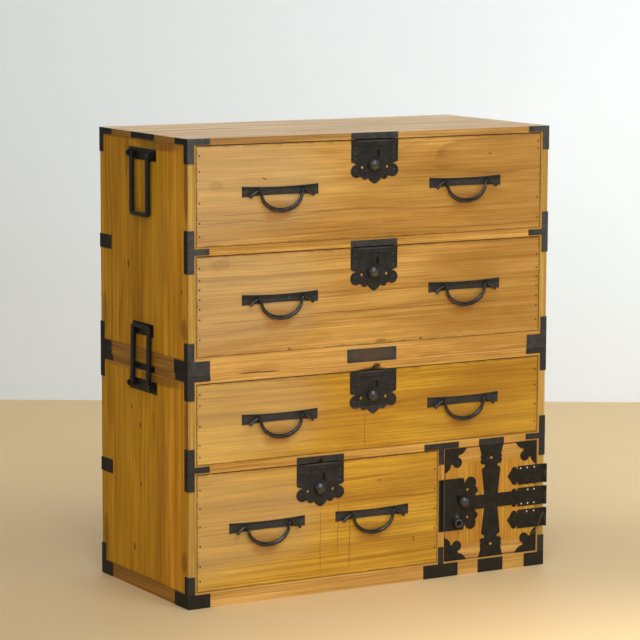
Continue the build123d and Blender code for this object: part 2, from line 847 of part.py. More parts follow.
with BuildPart() as lower_irons:
    case_irons(0, lower_height, (lower_rail_z + lower_shelf_z) / 2)
    tee_bar_low = lower_rail_z + keeper_rise + seam
    flat_iron(front_face, [
        ((stile_x - door_tee_width / 2, stile_x + door_tee_width / 2),
         (tee_bar_low, tee_bar_low + keeper_height)),
        ((stile_x - door_tee_leg / 2, stile_x + door_tee_leg / 2),
         (lower_rail_z - door_tee_drop, tee_bar_low)),
        ((stile_x - door_tee_width / 2, stile_x + door_tee_width / 2),
         (floor_gap, floor_gap + bottom_height)),
        ((stile_x - door_tee_leg / 2, stile_x + door_tee_leg / 2),
         (floor_gap, lower_base_height + door_tee_rise)),
        ((door_x - door_strap_width / 2, door_x + door_strap_width / 2),
         (lower_rail_z + floor_gap, lower_rail_z + floor_gap + door_strap_height)),
        ((door_x - door_strap_width / 2, door_x + door_strap_width / 2),
         (floor_gap, floor_gap + bottom_height)),
        ((stile_x - stile_strip_width / 2, stile_x + stile_strip_width / 2),
         (door_z - lock_width / 2, door_z + lock_width / 2)),
    ])
    keeper_strap(drawer_4.lock, True)
write(lower_irons, "lower_irons")

with BuildPart() as lower_loop_mounts:
    loop_mount(loop_pivot_z)
    mirror(about=Plane.YZ)
write(lower_loop_mounts, "lower_loop_mounts")

with BuildPart() as lower_left_loop:
    carrying_loop(loop_plane(-1, loop_pivot_z, True))
write(lower_left_loop, "lower_left_loop")

with BuildPart() as lower_right_loop:
    carrying_loop(loop_plane(1, loop_pivot_z, True))
write(lower_right_loop, "lower_right_loop")

# ---------------------------------------------------------------- door
with BuildPart() as door_panel:
    inside_x = (door_left + lipping, door_right - lipping)
    inside_z = (door_low + lipping, door_high - lipping)
    door_y = (-half_depth, door_thick - half_depth)
    board(inside_x, door_y, (inside_z[0], inside_z[0] + door_end_board - seam))
    board(inside_x, door_y, (inside_z[0] + door_end_board, inside_z[1] - door_end_board))
    board(inside_x, door_y, (inside_z[1] - door_end_board + seam, inside_z[1]))
    cut_lock_pocket(door_lock)
write(door_panel, "door_panel")

with BuildPart() as door_lipping:
    with BuildSketch(front_face):
        patch((door_left, door_right), (door_low, door_high))
        patch(inside_x, inside_z, mode=Mode.SUBTRACT)
    extrude(amount=-door_thick)
    cut_lock_pocket(door_lock)
write(door_lipping, "door_lipping")

with BuildPart() as door_irons:
    end = (door_high - door_low) / 2
    reach_x = (door_right - door_left) / 2
    bar = cross_bar_height / 2
    bar_left = door_lock_plane.origin.X + door_lobe_drop + belly_depth - door_x
    bar_right = hinge_x - hinge_lobe - hinge_lobe_radius - door_x
    lobes_right = (door_lock_plane.origin.X + door_lobe_drop + small_lobe_drop + small_lobe_radius
                   + iron_clearance - door_x)
    lobes_high = lobe_x + lobe_radius + iron_clearance
    with BuildSketch(Plane(origin=(door_x, -half_depth, door_z), x_dir=(1, 0, 0), z_dir=(0, -1, 0))):
        with BuildLine():
            Polyline((0, end), (cross_end_half, end), (cross_flare_half, end - cross_flare_depth),
                     (cross_neck_half, end - cross_neck_depth),
                     (cross_shoulder_half, end - cross_shoulder_depth), (cross_waist_half, bar),
                     (cross_waist_half, 0), (0, 0), close=True)
        make_face()
        with Locations((cross_lobe_x, end - cross_lobe_depth), (cross_lobe_x, end - cross_rib_depth)):
            Circle(cross_lobe_radius)
        with Locations((cross_neck_half + notch_radius, end - cross_neck_depth + notch_radius)):
            RegularPolygon(notch_radius, notch_sides, mode=Mode.SUBTRACT)
        swell_out = (corner_reach + corner_notch_far) / 2 + corner_swell
        swell_down = (corner_drop + corner_notch_far) / 2 + corner_swell
        swell_near = corner_notch_near / 2 + corner_swell
        with BuildLine():
            Line((reach_x - corner_notch_far, end - corner_notch_near),
                 (reach_x - corner_notch_near, end - corner_notch_far))
            ThreePointArc((reach_x - corner_notch_near, end - corner_notch_far),
                          (reach_x - swell_near, end - swell_down), (reach_x, end - corner_drop))
            Polyline((reach_x, end - corner_drop), (reach_x, end), (reach_x - corner_reach, end))
            ThreePointArc((reach_x - corner_reach, end), (reach_x - swell_out, end - swell_near),
                          (reach_x - corner_notch_far, end - corner_notch_near))
        make_face()
        with Locations((reach_x - corner_lobe, end - corner_lobe)):
            Circle(corner_lobe_radius)
        with Locations((reach_x - corner_notch_far, end - corner_notch_near),
                       (reach_x - corner_notch_near, end - corner_notch_far)):
            RegularPolygon(notch_radius, notch_sides, mode=Mode.SUBTRACT)
        mirror(about=Plane.XZ)
        mirror(about=Plane.YZ)
        patch((-reach_x, lobes_right), (-lobes_high, lobes_high), mode=Mode.SUBTRACT)
        patch((bar_left, bar_right), (-bar, bar))
        with Locations((0, end - cross_hole_depth), (0, cross_hole_depth - end)):
            Ellipse(cross_hole_x, cross_hole_y, mode=Mode.SUBTRACT)
    extrude(amount=iron_thick)
write(door_irons, "door_irons")


def stub_ring(share, wall):
    """Section of the pull stub, from its foot (0) to its mouth (1), less a wall."""
    foot = door_lock.plate.origin + door_lock.plate.x_dir * stub_x + door_lock.plate.y_dir * stub_y
    centre = foot + Vector(0, -stub_out, -stub_drop) * share
    with BuildSketch(Plane(origin=centre, x_dir=(1, 0, 0), z_dir=(0, -1, 0))) as ring:
        Circle(stub_radius + (stub_mouth_radius - stub_radius) * share - wall)
    return ring.sketch


with BuildPart() as door_lock_plate:
    with BuildSketch(door_lock.plate):
        lock_field(door_lock)
        lock_holes(door_lock)
    extrude(amount=iron_thick)
    loft([stub_ring(0, 0), stub_ring(1, 0)])
    loft([stub_ring(stub_floor, stub_wall), stub_ring(1, stub_wall)], mode=Mode.SUBTRACT)
write(door_lock_plate, "door_lock_plate")

with BuildPart() as door_lock_knob:
    lock_knob(door_lock)
write(door_lock_knob, "door_lock_knob")

with BuildPart() as door_lock_bolt:
    lock_bolt(door_lock)
write(door_lock_bolt, "door_lock_bolt")


# ---------------------------------------------------------------- hinges
knuckle_pitch = hinge_height / knuckle_count
knuckle_length = knuckle_pitch - knuckle_gap


def knuckle_z(level, index):
    """Middle height of one knuckle of the hinge at a level."""
    return level + (index - (knuckle_count - 1) / 2) * knuckle_pitch


def knuckle(z, bore):
    """One knuckle of a hinge, round the pin."""
    with BuildSketch(Plane.XY.offset(z - knuckle_length / 2)) as shape:
        with Locations((hinge_x, hinge_y)):
            Circle(knuckle_radius)
    extrude(shape.sketch, amount=knuckle_length)
    if bore:
        with BuildSketch(Plane.XY.offset(z - knuckle_length / 2)) as shape:
            with Locations((hinge_x, hinge_y)):
                Circle(bore)
        extrude(shape.sketch, amount=knuckle_length, mode=Mode.SUBTRACT)


def hinge_strap(level, pointed):
    """A strap on the door: a pointed or blunt lobed end, and a notched root that meets its knuckles."""
    root = hinge_x - pin_radius - running_clearance - knuckle_gap
    clear = hinge_x - knuckle_radius - knuckle_gap
    half = hinge_height / 2
    neck_x = hinge_x - hinge_neck
    lobe_at = hinge_x - hinge_lobe
    cheek_x = lobe_at - hinge_lobe_radius * hinge_cheek_out
    cheek_z = hinge_lobe_spread + hinge_lobe_radius * hinge_cheek_rise
    with BuildSketch(front_face) as shape:
        patch((neck_x, root), (level - half, level + half))
        patch((lobe_at - hinge_lobe_radius, neck_x), (level - hinge_neck_half, level + hinge_neck_half))
        with Locations((lobe_at, level - hinge_lobe_spread), (lobe_at, level + hinge_lobe_spread)):
            Circle(hinge_lobe_radius)
        if pointed:
            with BuildLine():
                Polyline((hinge_x - hinge_tip, level), (cheek_x, level - cheek_z), (lobe_at, level),
                         (cheek_x, level + cheek_z), close=True)
            make_face()
        for index in range(1, knuckle_count, 2):
            z = knuckle_z(level, index)
            reach = (knuckle_pitch + knuckle_gap) / 2
            patch((clear, root), (z - reach, z + reach), mode=Mode.SUBTRACT)
    extrude(shape.sketch, amount=iron_thick)
    for index in range(0, knuckle_count, 2):
        knuckle(knuckle_z(level, index), pin_radius + running_clearance)


with BuildPart() as door_hinge_straps:
    for index, level in enumerate(hinge_levels):
        hinge_strap(level, index != 1)
write(door_hinge_straps, "door_hinge_straps")

with BuildPart() as hinge_leaves:
    leaf_front = hinge_y + pin_radius + running_clearance + knuckle_gap
    leaf_clear = hinge_y + knuckle_radius + knuckle_gap
    for level in hinge_levels:
        half = hinge_height / 2
        with BuildSketch(right_face):
            patch((leaf_clear, hinge_side_reach - half_depth), (level - half, level + half))
            for index in range(1, knuckle_count, 2):
                z = knuckle_z(level, index)
                patch((leaf_front, leaf_clear), (z - knuckle_length / 2, z + knuckle_length / 2))
        extrude(amount=iron_thick)
        for index in range(1, knuckle_count, 2):
            knuckle(knuckle_z(level, index), 0)
        with BuildSketch(Plane.XY.offset(level - half)):
            with Locations((hinge_x, hinge_y)):
                Circle(pin_radius)
        extrude(amount=hinge_height)
write(hinge_leaves, "hinge_leaves")

# ---------------------------------------------------------------- the two drawers behind the door
inner_x = (stile_right + side_gap, inner_half - side_gap)
inner_front_y = inner_setback - half_depth
inner_back_y = back_inside - back_gap
inner_openings = {
    "inner_upper": (inner_shelf_z + inner_shelf_thick, lower_rail_z),
    "inner_lower": (lower_base_height, inner_shelf_z),
}
for name, opening in inner_openings.items():
    inner_z = (opening[0] + run_gap, opening[1] - top_gap)
    with BuildPart() as inner_drawer:
        board(inner_x, (inner_front_y, inner_front_y + inner_front_thick - seam), inner_z)
        drawer_box(inner_x, (inner_front_y + inner_front_thick, inner_back_y),
                   (inner_z[0], inner_z[1] - box_drop), inner_wall, inner_bottom)
    write(inner_drawer, f"{name}_drawer")

    with BuildPart() as inner_pull:
        pull_plane = Plane(origin=(middle(inner_x), inner_front_y, middle(inner_z)), x_dir=(1, 0, 0),
                           z_dir=(0, 0, 1))
        with BuildSketch(pull_plane):
            with BuildLine():
                Polyline((0, 0), (pull_seat, 0), (pull_neck, -pull_waist), (pull_radius, -pull_rim),
                         (pull_neck, -pull_length), (0, -pull_length), close=True)
            make_face()
        revolve(axis=Axis(pull_plane.origin, (0, 1, 0)))
    write(inner_pull, f"{name}_pull")
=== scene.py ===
# %% [markdown]
# # Dressing an iron-bound clothing chest
# The chest arrives as a measured frame: boards, irons, locks, bails and loops, each already in its place.
# This lesson gives the frame its looks. It builds the wood and iron finishes from a few shared effects,
# forges the bails, turns the knobs, drives the nails, and sets the studio round it.
# Everything is in metres, with +Z up and the drawers facing -Y.

# %% Load the frame
import math

import bpy
from mathutils import Matrix, Vector


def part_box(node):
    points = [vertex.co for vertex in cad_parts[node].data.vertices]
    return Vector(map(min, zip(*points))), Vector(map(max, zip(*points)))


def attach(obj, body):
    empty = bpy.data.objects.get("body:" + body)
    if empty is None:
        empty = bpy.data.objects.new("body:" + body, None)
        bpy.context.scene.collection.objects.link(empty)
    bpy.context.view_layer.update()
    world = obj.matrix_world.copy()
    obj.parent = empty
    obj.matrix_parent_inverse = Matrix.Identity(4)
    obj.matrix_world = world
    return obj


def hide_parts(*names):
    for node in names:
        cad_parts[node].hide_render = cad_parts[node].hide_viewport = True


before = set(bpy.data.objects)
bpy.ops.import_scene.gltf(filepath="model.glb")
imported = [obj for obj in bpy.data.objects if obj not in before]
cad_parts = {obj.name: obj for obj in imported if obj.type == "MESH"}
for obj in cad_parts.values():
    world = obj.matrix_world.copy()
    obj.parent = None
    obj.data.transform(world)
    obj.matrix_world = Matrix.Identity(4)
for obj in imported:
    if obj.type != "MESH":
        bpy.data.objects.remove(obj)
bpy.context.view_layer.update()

# %% [markdown]
# ## The camera
# A long lens keeps the chest's uprights nearly parallel, as in a dealer's studio picture. The camera stands a
# good six metres away, a little above the top, and far enough to the left that the left side shows. Its axes
# are worked out from three angles, so that the viewing angle can be read and changed.

# %% Place the camera
camera_spot = Vector((-3.376949, -5.780292, 1.521968))
turn, drop, roll = math.radians(30.189), math.radians(7.848), math.radians(0.218)
lens_length, film_width = 160.685, 36
ahead = Vector((math.sin(turn) * math.cos(drop), math.cos(turn) * math.cos(drop), -math.sin(drop)))
level = Vector((math.cos(turn), -math.sin(turn), 0))
across = level * math.cos(roll) + level.cross(ahead) * math.sin(roll)
upward = across.cross(ahead)

bpy.ops.object.camera_add()
camera = bpy.context.object
camera.name = "studio_camera"
camera.data.lens = lens_length
camera.data.sensor_width = film_width
camera.matrix_world = Matrix.Translation(camera_spot) @ Matrix((across, upward, -ahead)).transposed().to_4x4()
bpy.context.scene.camera = camera
print("camera at", [round(v, 2) for v in camera_spot])

# %% [markdown]
# ## Small tools for node trees
# Shader trees are easier to follow when a node takes one line. `add` makes a node, sets its properties, and
# fills its sockets from values or from other sockets. `calc` and `vector_calc` are the two kinds of Math
# node, `blend` mixes two colours, `ease` turns a value into a soft 0 to 1 mask between two limits, and `ramp`
# maps a value in a straight line.

# %% Node tools
def add(tree, kind, sockets=None, **properties):
    """One shader node. Sockets are given by name or number, as a value or as an output to link."""
    made = tree.nodes.new("ShaderNode" + kind)
    for key, value in properties.items():
        setattr(made, key, value)
    for key, value in (sockets or {}).items():
        if isinstance(value, bpy.types.NodeSocket):
            tree.links.new(value, made.inputs[key])
        else:
            made.inputs[key].default_value = value
    return made


def calc(tree, operation, *values):
    """The result of one Math node."""
    return add(tree, "Math", dict(enumerate(values)), operation=operation).outputs[0]


def product(tree, value, *factors):
    """A value multiplied by each factor in turn."""
    for factor in factors:
        value = calc(tree, "MULTIPLY", value, factor)
    return value


def vector_calc(tree, operation, *values):
    """The result of one Vector Math node: a number for a length or a dot product, otherwise a vector."""
    made = add(tree, "VectorMath", dict(enumerate(values)), operation=operation)
    return made.outputs["Value" if operation in ("LENGTH", "DOT_PRODUCT") else "Vector"]


def blend(tree, mask, under, over):
    """Two colours mixed by a mask."""
    return add(tree, "Mix", {0: mask, 6: under, 7: over}, data_type="RGBA").outputs[2]


def ease(tree, value, start, end):
    """A smooth mask: 0 at start, 1 at end."""
    sockets = {"Value": value, "From Min": start, "From Max": end}
    return add(tree, "MapRange", sockets, interpolation_type="SMOOTHSTEP").outputs[0]


def ramp(tree, value, low, high, start=0.0, end=1.0):
    """A value mapped in a straight line: start becomes low, and end becomes high."""
    sockets = {"Value": value, "From Min": start, "From Max": end, "To Min": low, "To Max": high}
    return add(tree, "MapRange", sockets).outputs[0]


def speckle(tree, vector, scale, detail=3.0, rough=0.5, seed=0.0):
    """Noise between 0 and 1. One scale makes it even, and three stretch it along the axes."""
    if isinstance(scale, tuple):
        vector, scale = vector_calc(tree, "MULTIPLY", vector, scale), 1.0
    sockets = {"Vector": vector, "W": seed, "Scale": scale, "Detail": detail, "Roughness": rough}
    return add(tree, "TexNoise", sockets, noise_dimensions="4D").outputs[0]


def seen_from(tree, vector, place, turned=(0, 0, 0), size=(1, 1, 1)):
    """A vector moved, turned and scaled so that one spot becomes the origin."""
    sockets = {"Vector": vector, "Location": place, "Rotation": turned, "Scale": size}
    return add(tree, "Mapping", sockets, vector_type="TEXTURE").outputs[0]

# %% [markdown]
# A node group is a tree with named sockets at both ends. Built once, it serves every material that shows the
# same effect, and a change to it reaches them all. `new_group` opens one, `send` links its results, and `use`
# places it in a material.

# %% Group tools
def new_group(title, inputs, *results):
    """A node group that reads a vector and its inputs, and the sockets of its two end nodes."""
    tree = bpy.data.node_groups.new(title, "ShaderNodeTree")
    tree.interface.new_socket("Vector", in_out="INPUT", socket_type="NodeSocketVector")
    for label, value in inputs.items():
        kind = {1: "Float", 3: "Vector", 4: "Color"}[len(value) if isinstance(value, tuple) else 1]
        socket = tree.interface.new_socket(label, in_out="INPUT", socket_type="NodeSocket" + kind)
        socket.default_value = value
    for label in results:
        kind = "Color" if label == "Color" else "Float"
        tree.interface.new_socket(label, in_out="OUTPUT", socket_type="NodeSocket" + kind)
    return tree, tree.nodes.new("NodeGroupInput").outputs, tree.nodes.new("NodeGroupOutput").inputs


def send(tree, give, **results):
    """Links results to the outputs of a group."""
    for label, result in results.items():
        tree.links.new(result, give[label])


def use(tree, group, sockets):
    """A node group placed in a tree with its own values."""
    return add(tree, "Group", sockets, node_tree=group).outputs

# %% [markdown]
# ## Shared effect: the figure of a board
# A board is a slice of a tree. Its growth rings are shells round the log's heart, and a flat slice shows them
# as long flowing lines with an arch where the cut passes near the heart. So the rings are made as solid
# wood: the distance to a wandering heart line picks the tone, the same on the face, the edge and the end.
# A flat noise texture would be simpler, but the edges of a board would not match its face. The noises over
# the rings are drawn out along the grain, and each is given by how often it repeats in a metre along, across
# and through the board.

# %% Group: board_figure
tree, take, give = new_group(
    "board_figure", {"Seed": 0.0, "Heart": (0, 0.3, 0), "Ring Width": 0.01, "Flow": 0.02,
                     "Pale": (0.7, 0.5, 0.3, 1), "Honey": (0.5, 0.3, 0.1, 1), "Line": (0.3, 0.15, 0.05, 1)},
    "Color", "Lines", "Height")
board_figure, place, seed = tree, take["Vector"], take["Seed"]
heart_bends, broad_bands, fibres = (1.6, 5, 5), (1.8, 9, 9), (2.5, 50, 50)
streaks, pores, clouds = (2.4, 300, 300), (8, 360, 360), (3.2, 34, 34)

bends = {"Vector": vector_calc(tree, "MULTIPLY", place, heart_bends), "W": seed, "Scale": 1.0, "Detail": 3.0}
wander = add(tree, "TexNoise", bends, noise_dimensions="4D").outputs["Color"]
drift = vector_calc(tree, "SUBTRACT", wander, (0.5, 0.5, 0.5))
drift = add(tree, "VectorMath", {0: drift, "Scale": take["Flow"]}, operation="SCALE").outputs[0]
inside = vector_calc(tree, "SUBTRACT", vector_calc(tree, "ADD", place, drift), take["Heart"])
reach = vector_calc(tree, "LENGTH", vector_calc(tree, "MULTIPLY", inside, (0, 1, 1)))
age = calc(tree, "ADD", calc(tree, "DIVIDE", reach, take["Ring Width"]), seed)
years = {"W": product(tree, age, 0.4), "Scale": 1.0, "Detail": 3.0, "Roughness": 0.6}
ring_tone = add(tree, "TexNoise", years, noise_dimensions="1D").outputs[0]
broad_tone = speckle(tree, place, broad_bands, 4.0, 0.6, seed)
tone = calc(tree, "MULTIPLY_ADD", ring_tone, 0.4, product(tree, broad_tone, 0.6))
figure = blend(tree, ease(tree, tone, 0.36, 0.62), take["Pale"], take["Honey"])

ring_number = calc(tree, "FLOOR", age)
ring_share = calc(tree, "SUBTRACT", age, ring_number)
ring_force = add(tree, "TexWhiteNoise", {"W": ring_number}, noise_dimensions="1D").outputs["Value"]
fibre = speckle(tree, place, fibres, 4.0, 0.65, seed)
late = product(tree, ease(tree, ring_share, 0.5, 0.94), ease(tree, ring_share, 1.0, 0.96),
               calc(tree, "POWER", ring_force, 1.3), ease(tree, fibre, 0.3, 0.6))
figure = blend(tree, product(tree, late, 0.78), figure, take["Line"])

streak = speckle(tree, place, streaks, 4.0, 0.66, seed)
cloud = speckle(tree, place, clouds, 5.0, 0.6, seed)
pits = ease(tree, speckle(tree, place, pores, 2.0, 0.5), 0.62, 0.74)
figure = blend(tree, product(tree, pits, 0.5), figure, take["Line"])
shade = product(tree, ramp(tree, streak, 0.7, 1.3, 0.25, 0.75), ramp(tree, cloud, 0.74, 1.26, 0.25, 0.75))
red_green_blue = [calc(tree, "POWER", shade, power) for power in (1.05, 1.35, 2.2)]
tint = add(tree, "CombineXYZ", dict(enumerate(red_green_blue))).outputs[0]
rough_grain = calc(tree, "MULTIPLY_ADD", streak, 0.5, product(tree, late, 0.6))
send(tree, give, Color=vector_calc(tree, "MULTIPLY", figure, tint), Lines=late,
     Height=calc(tree, "SUBTRACT", rough_grain, pits))
print("board_figure has", len(board_figure.nodes), "nodes")

# %% [markdown]
# ## Shared effects: splits, stains and grime along the edges
# Old boards split as they dry, darken where hands reach them, and collect dirt along every joint. Each mark
# is one small group that looks at a vector whose origin is the mark's own centre. A split is a thin line
# that wanders, and a stain is a soft ball with a ragged rim. The joint grime measures the distance to the
# nearest edge of a board's face, and an area is a box with crisp edges.

# %% Groups: wandering_line, ragged_spot, edge_grime and board_area
tree, take, give = new_group(
    "wandering_line", {"Half Length": 0.1, "Half Width": 0.001, "Wander": 0.004, "Breaks": 0.3}, "Mask")
wandering_line, place = tree, take["Vector"]
parts = add(tree, "SeparateXYZ", {0: place}).outputs
sway = speckle(tree, place, (14, 0, 0), 3.0, 0.6, take["Half Length"])
offset = product(tree, calc(tree, "SUBTRACT", sway, 0.5), take["Wander"])
off_line = calc(tree, "ABSOLUTE", calc(tree, "ADD", parts["Z"], offset))
share = calc(tree, "DIVIDE", calc(tree, "ABSOLUTE", parts["X"]), take["Half Length"])
width = product(tree, take["Half Width"], ease(tree, share, 1.0, 0.55))
core = ease(tree, calc(tree, "SUBTRACT", off_line, width), 0.0005, -0.0003)
torn = speckle(tree, place, (60, 60, 60), 2.0)
kept = ease(tree, torn, take["Breaks"], calc(tree, "ADD", take["Breaks"], 0.12))
send(tree, give, Mask=product(tree, core, kept, ease(tree, share, 1.0, 0.97)))

tree, take, give = new_group("ragged_spot", {"Softness": 0.5, "Raggedness": 0.5}, "Mask")
ragged_spot, place = tree, take["Vector"]
torn = calc(tree, "SUBTRACT", speckle(tree, place, 2.6, 4.0, 0.6), 0.5)
far = calc(tree, "MULTIPLY_ADD", torn, take["Raggedness"], vector_calc(tree, "LENGTH", place))
send(tree, give, Mask=ease(tree, far, 1.0, calc(tree, "SUBTRACT", 1.0, take["Softness"])))


def beyond(tree, place, half):
    """How far a place is beyond a box of half sizes, for each axis. Below zero is inside."""
    depth = vector_calc(tree, "SUBTRACT", vector_calc(tree, "ABSOLUTE", place), half)
    return add(tree, "SeparateXYZ", {0: depth}).outputs


tree, take, give = new_group("edge_grime", {"Half Size": (0.4, 1, 0.1), "Reach": 0.006}, "Mask")
edge_grime, place = tree, take["Vector"]
sides = beyond(tree, place, take["Half Size"])
patchy = speckle(tree, place, (30, 90, 90), 5.0, 0.7)
limit = product(tree, take["Reach"], -2.0, ease(tree, patchy, 0.2, 0.9))
send(tree, give, Mask=ease(tree, calc(tree, "MAXIMUM", sides["X"], sides["Z"]), limit, 0.001))

tree, take, give = new_group("board_area", {"Half Size": (1, 1, 1), "Blur": 0.0006}, "Mask")
board_area = tree
sides = beyond(tree, take["Vector"], take["Half Size"])
outside = calc(tree, "MAXIMUM", calc(tree, "MAXIMUM", sides["X"], sides["Y"]), sides["Z"])
send(tree, give, Mask=ease(tree, outside, take["Blur"], product(tree, take["Blur"], -1.0)))
print("mark groups:", wandering_line.name, ragged_spot.name, edge_grime.name, board_area.name)

# %% [markdown]
# ## Shared effects for iron
# The irons are sheet and bar, blackened in oil and smoke. Close up, such a skin is mottled and finely pitted,
# worn bright along its edges, and it blooms brown where the black has gone. The wear reads the rounded normal
# of the Bevel node: where it leans away from the true normal there is an edge, and there the skin is thin.

# %% Groups: forge_skin and edge_wear
tree, take, give = new_group("forge_skin", {"Seed": 0.0}, "Mottle", "Bloom", "Flecks", "Height")
forge_skin, place, seed = tree, take["Vector"], take["Seed"]
mottle = speckle(tree, place, 60.0, 7.0, 0.75, seed)
hammer = speckle(tree, place, 95.0, 1.0, 0.4, seed)
grit = speckle(tree, place, 900.0, 2.0, 0.5, seed)
patches = speckle(tree, place, 17.0, 6.0, 0.7, seed)
scuffs = speckle(tree, place, 260.0, 3.0, 0.6, seed)
send(tree, give, Mottle=ease(tree, mottle, 0.36, 0.64), Flecks=ease(tree, scuffs, 0.56, 0.72),
     Bloom=ease(tree, calc(tree, "MULTIPLY_ADD", grit, 0.25, patches), 0.69, 0.84),
     Height=calc(tree, "MULTIPLY_ADD", grit, 0.2, hammer))

tree, take, give = new_group("edge_wear", {"Radius": 0.001, "Amount": 0.7}, "Mask")
edge_wear = tree
rounded = add(tree, "Bevel", {"Radius": take["Radius"]}, samples=4).outputs[0]
plain = add(tree, "NewGeometry").outputs["Normal"]
lean = calc(tree, "SUBTRACT", 1.0, vector_calc(tree, "DOT_PRODUCT", rounded, plain))
rubbed = ease(tree, speckle(tree, take["Vector"], 110.0, 3.0, 0.6), 0.35, 0.6)
send(tree, give, Mask=product(tree, ease(tree, lean, 0.03, 0.3), rubbed, take["Amount"]))
print("iron groups:", forge_skin.name, edge_wear.name)

# %% [markdown]
# ## Marks
# A mark is a place, a size, a colour and a share: how much of the mark's colour covers what lies under it.
# Each kind has its own small function, so that a board's marks can be listed and read like a repairer's
# notes. `paint_marks` lays them over a finish in order, so a split listed after a stain crosses it.

# %% Kinds of mark
FLAT, UPRIGHT, WHOLE = (0, 0, 0), (0, math.radians(-90), 0), (1, 1, 1)
ALONG = {"x": FLAT, "y": (0, 0, math.radians(90)), "z": UPRIGHT}


def split(place, shape, tint, share, turned=FLAT):
    """A crack, or a line cut in iron. Its shape is half length, half width, wander and breaks."""
    sockets = dict(zip(("Half Length", "Half Width", "Wander", "Breaks"), shape))
    return wandering_line, place, turned, WHOLE, sockets, tint, share


def stain(place, size, tint, share, turned=FLAT):
    """A soft ball of colour with a ragged rim."""
    return ragged_spot, place, turned, size, {}, tint, share


def grime(place, half, tint, share, turned=FLAT):
    """Dirt along the edges of a face."""
    return edge_grime, place, turned, WHOLE, {"Half Size": half}, tint, share


def area(place, half, tint, share):
    """A box of colour with crisp edges."""
    return board_area, place, FLAT, WHOLE, {"Half Size": half}, tint, share


def board(place, half, blur, *look):
    """Another board within the same piece, with its own figure over the full area."""
    return board_area, place, FLAT, WHOLE, {"Half Size": half, "Blur": blur}, look, None


def board_look(tree, spot, along, seed, heart, ring, flow, colours):
    """The figure of one board, with its grain along an axis. Colours are pale, honey and line."""
    pale, honey, line = ((*colour, 1) for colour in colours)
    return use(tree, board_figure, {
        "Vector": seen_from(tree, spot, FLAT, ALONG[along]), "Seed": seed, "Heart": heart, "Ring Width": ring,
        "Flow": flow, "Pale": pale, "Honey": honey, "Line": line})


def paint_marks(tree, spot, marks, colour, height, pressed, depth):
    """Paints marks over a colour. Those of the pressed groups also sink into the height."""
    for group, place, turned, size, sockets, tint, share in marks:
        mask = use(tree, group, {"Vector": seen_from(tree, spot, place, turned, size), **sockets})[0]
        if share is None:
            colour = blend(tree, mask, colour, board_look(tree, spot, *tint)["Color"])
            continue
        mask = product(tree, mask, share)
        colour = blend(tree, mask, colour, (*tint, 1))
        if group in pressed:
            height = calc(tree, "MULTIPLY_ADD", mask, -depth, height)
    return colour, height

# %% [markdown]
# ## Wood finishes
# `dress_wood` turns the groups into a finished board. It takes the way the grain runs, where the heart of the
# log lies, three colours, and a list of marks. Object coordinates are used throughout: a board is painted
# where it is.

# %% Finishing tools
def new_finish(title):
    """A new material: itself, its tree, its shader, and the place of each point on the piece."""
    material = bpy.data.materials.new(title)
    material.use_nodes = True
    tree = material.node_tree
    return material, tree, tree.nodes["Principled BSDF"], add(tree, "TexCoord").outputs["Object"]


def lay_on(tree, shader, colour, rough, height, strength, distance):
    """Feeds a finish's colour, roughness and height to its shader."""
    bump = add(tree, "Bump", {"Height": height, "Strength": strength, "Distance": distance})
    for label, result in (("Base Color", colour), ("Roughness", rough), ("Normal", bump.outputs[0])):
        tree.links.new(result, shader.inputs[label])


def dress(material, nodes):
    """Gives CAD nodes a material."""
    for name in nodes:
        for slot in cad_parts[name].material_slots:
            slot.material = material


def dress_wood(title, nodes, along, seed, heart, ring, flow, colours, marks=(), rough=0.5, gloss=0.3):
    """Gives CAD nodes a board's figure and its marks. Splits are cut into the surface."""
    material, tree, shader, spot = new_finish(title)
    figure = board_look(tree, spot, along, seed, heart, ring, flow, colours)
    colour, height = paint_marks(tree, spot, marks, figure["Color"], figure["Height"], [wandering_line], 3.0)
    dull = ramp(tree, figure["Lines"], rough - 0.06, rough + 0.1)
    lay_on(tree, shader, colour, dull, height, 0.22, 0.0006)
    shader.inputs["Specular IOR Level"].default_value = gloss
    dress(material, nodes)

# %% [markdown]
# ## The drawer fronts
# The fronts are flat-sawn boards, waxed to a honey gold. No two come from the same log, so each has its own
# seed, heart and ring width. Splits run down from the two lower locks, where the plate's nails hold the board
# still while it shrinks, and the joint lines are dark with old dirt.

# %% Finish the four drawer fronts
GOLD = ((0.71, 0.405, 0.094), (0.55, 0.276, 0.05), (0.31, 0.13, 0.021))
BRIGHT = ((0.74, 0.43, 0.105), (0.57, 0.29, 0.055), (0.32, 0.136, 0.023))
AMBER = ((0.755, 0.425, 0.034), (0.585, 0.29, 0.017), (0.34, 0.13, 0.008))
SOOT_AND_SHADE, UMBER = (0.035, 0.014, 0.006), (0.16, 0.065, 0.018)
PAINTED_SHEEN, PAINTED_SHADE, EMBER = (0.66, 0.49, 0.26), (0.36, 0.16, 0.018), (0.5, 0.2, 0.03)
FACE_Y, PLATE_HALF = -0.22, 0.0535
handles = {  # distance from the drawer's middle, and height, in millimetres
    1: (246.5, 935.5), 2: (246.5, 692.5), 3: (246.5, 421.7), 4: (139.0, 175.5)}


def face(x, z):
    """A place on the chest's front face."""
    return x, FACE_Y, z


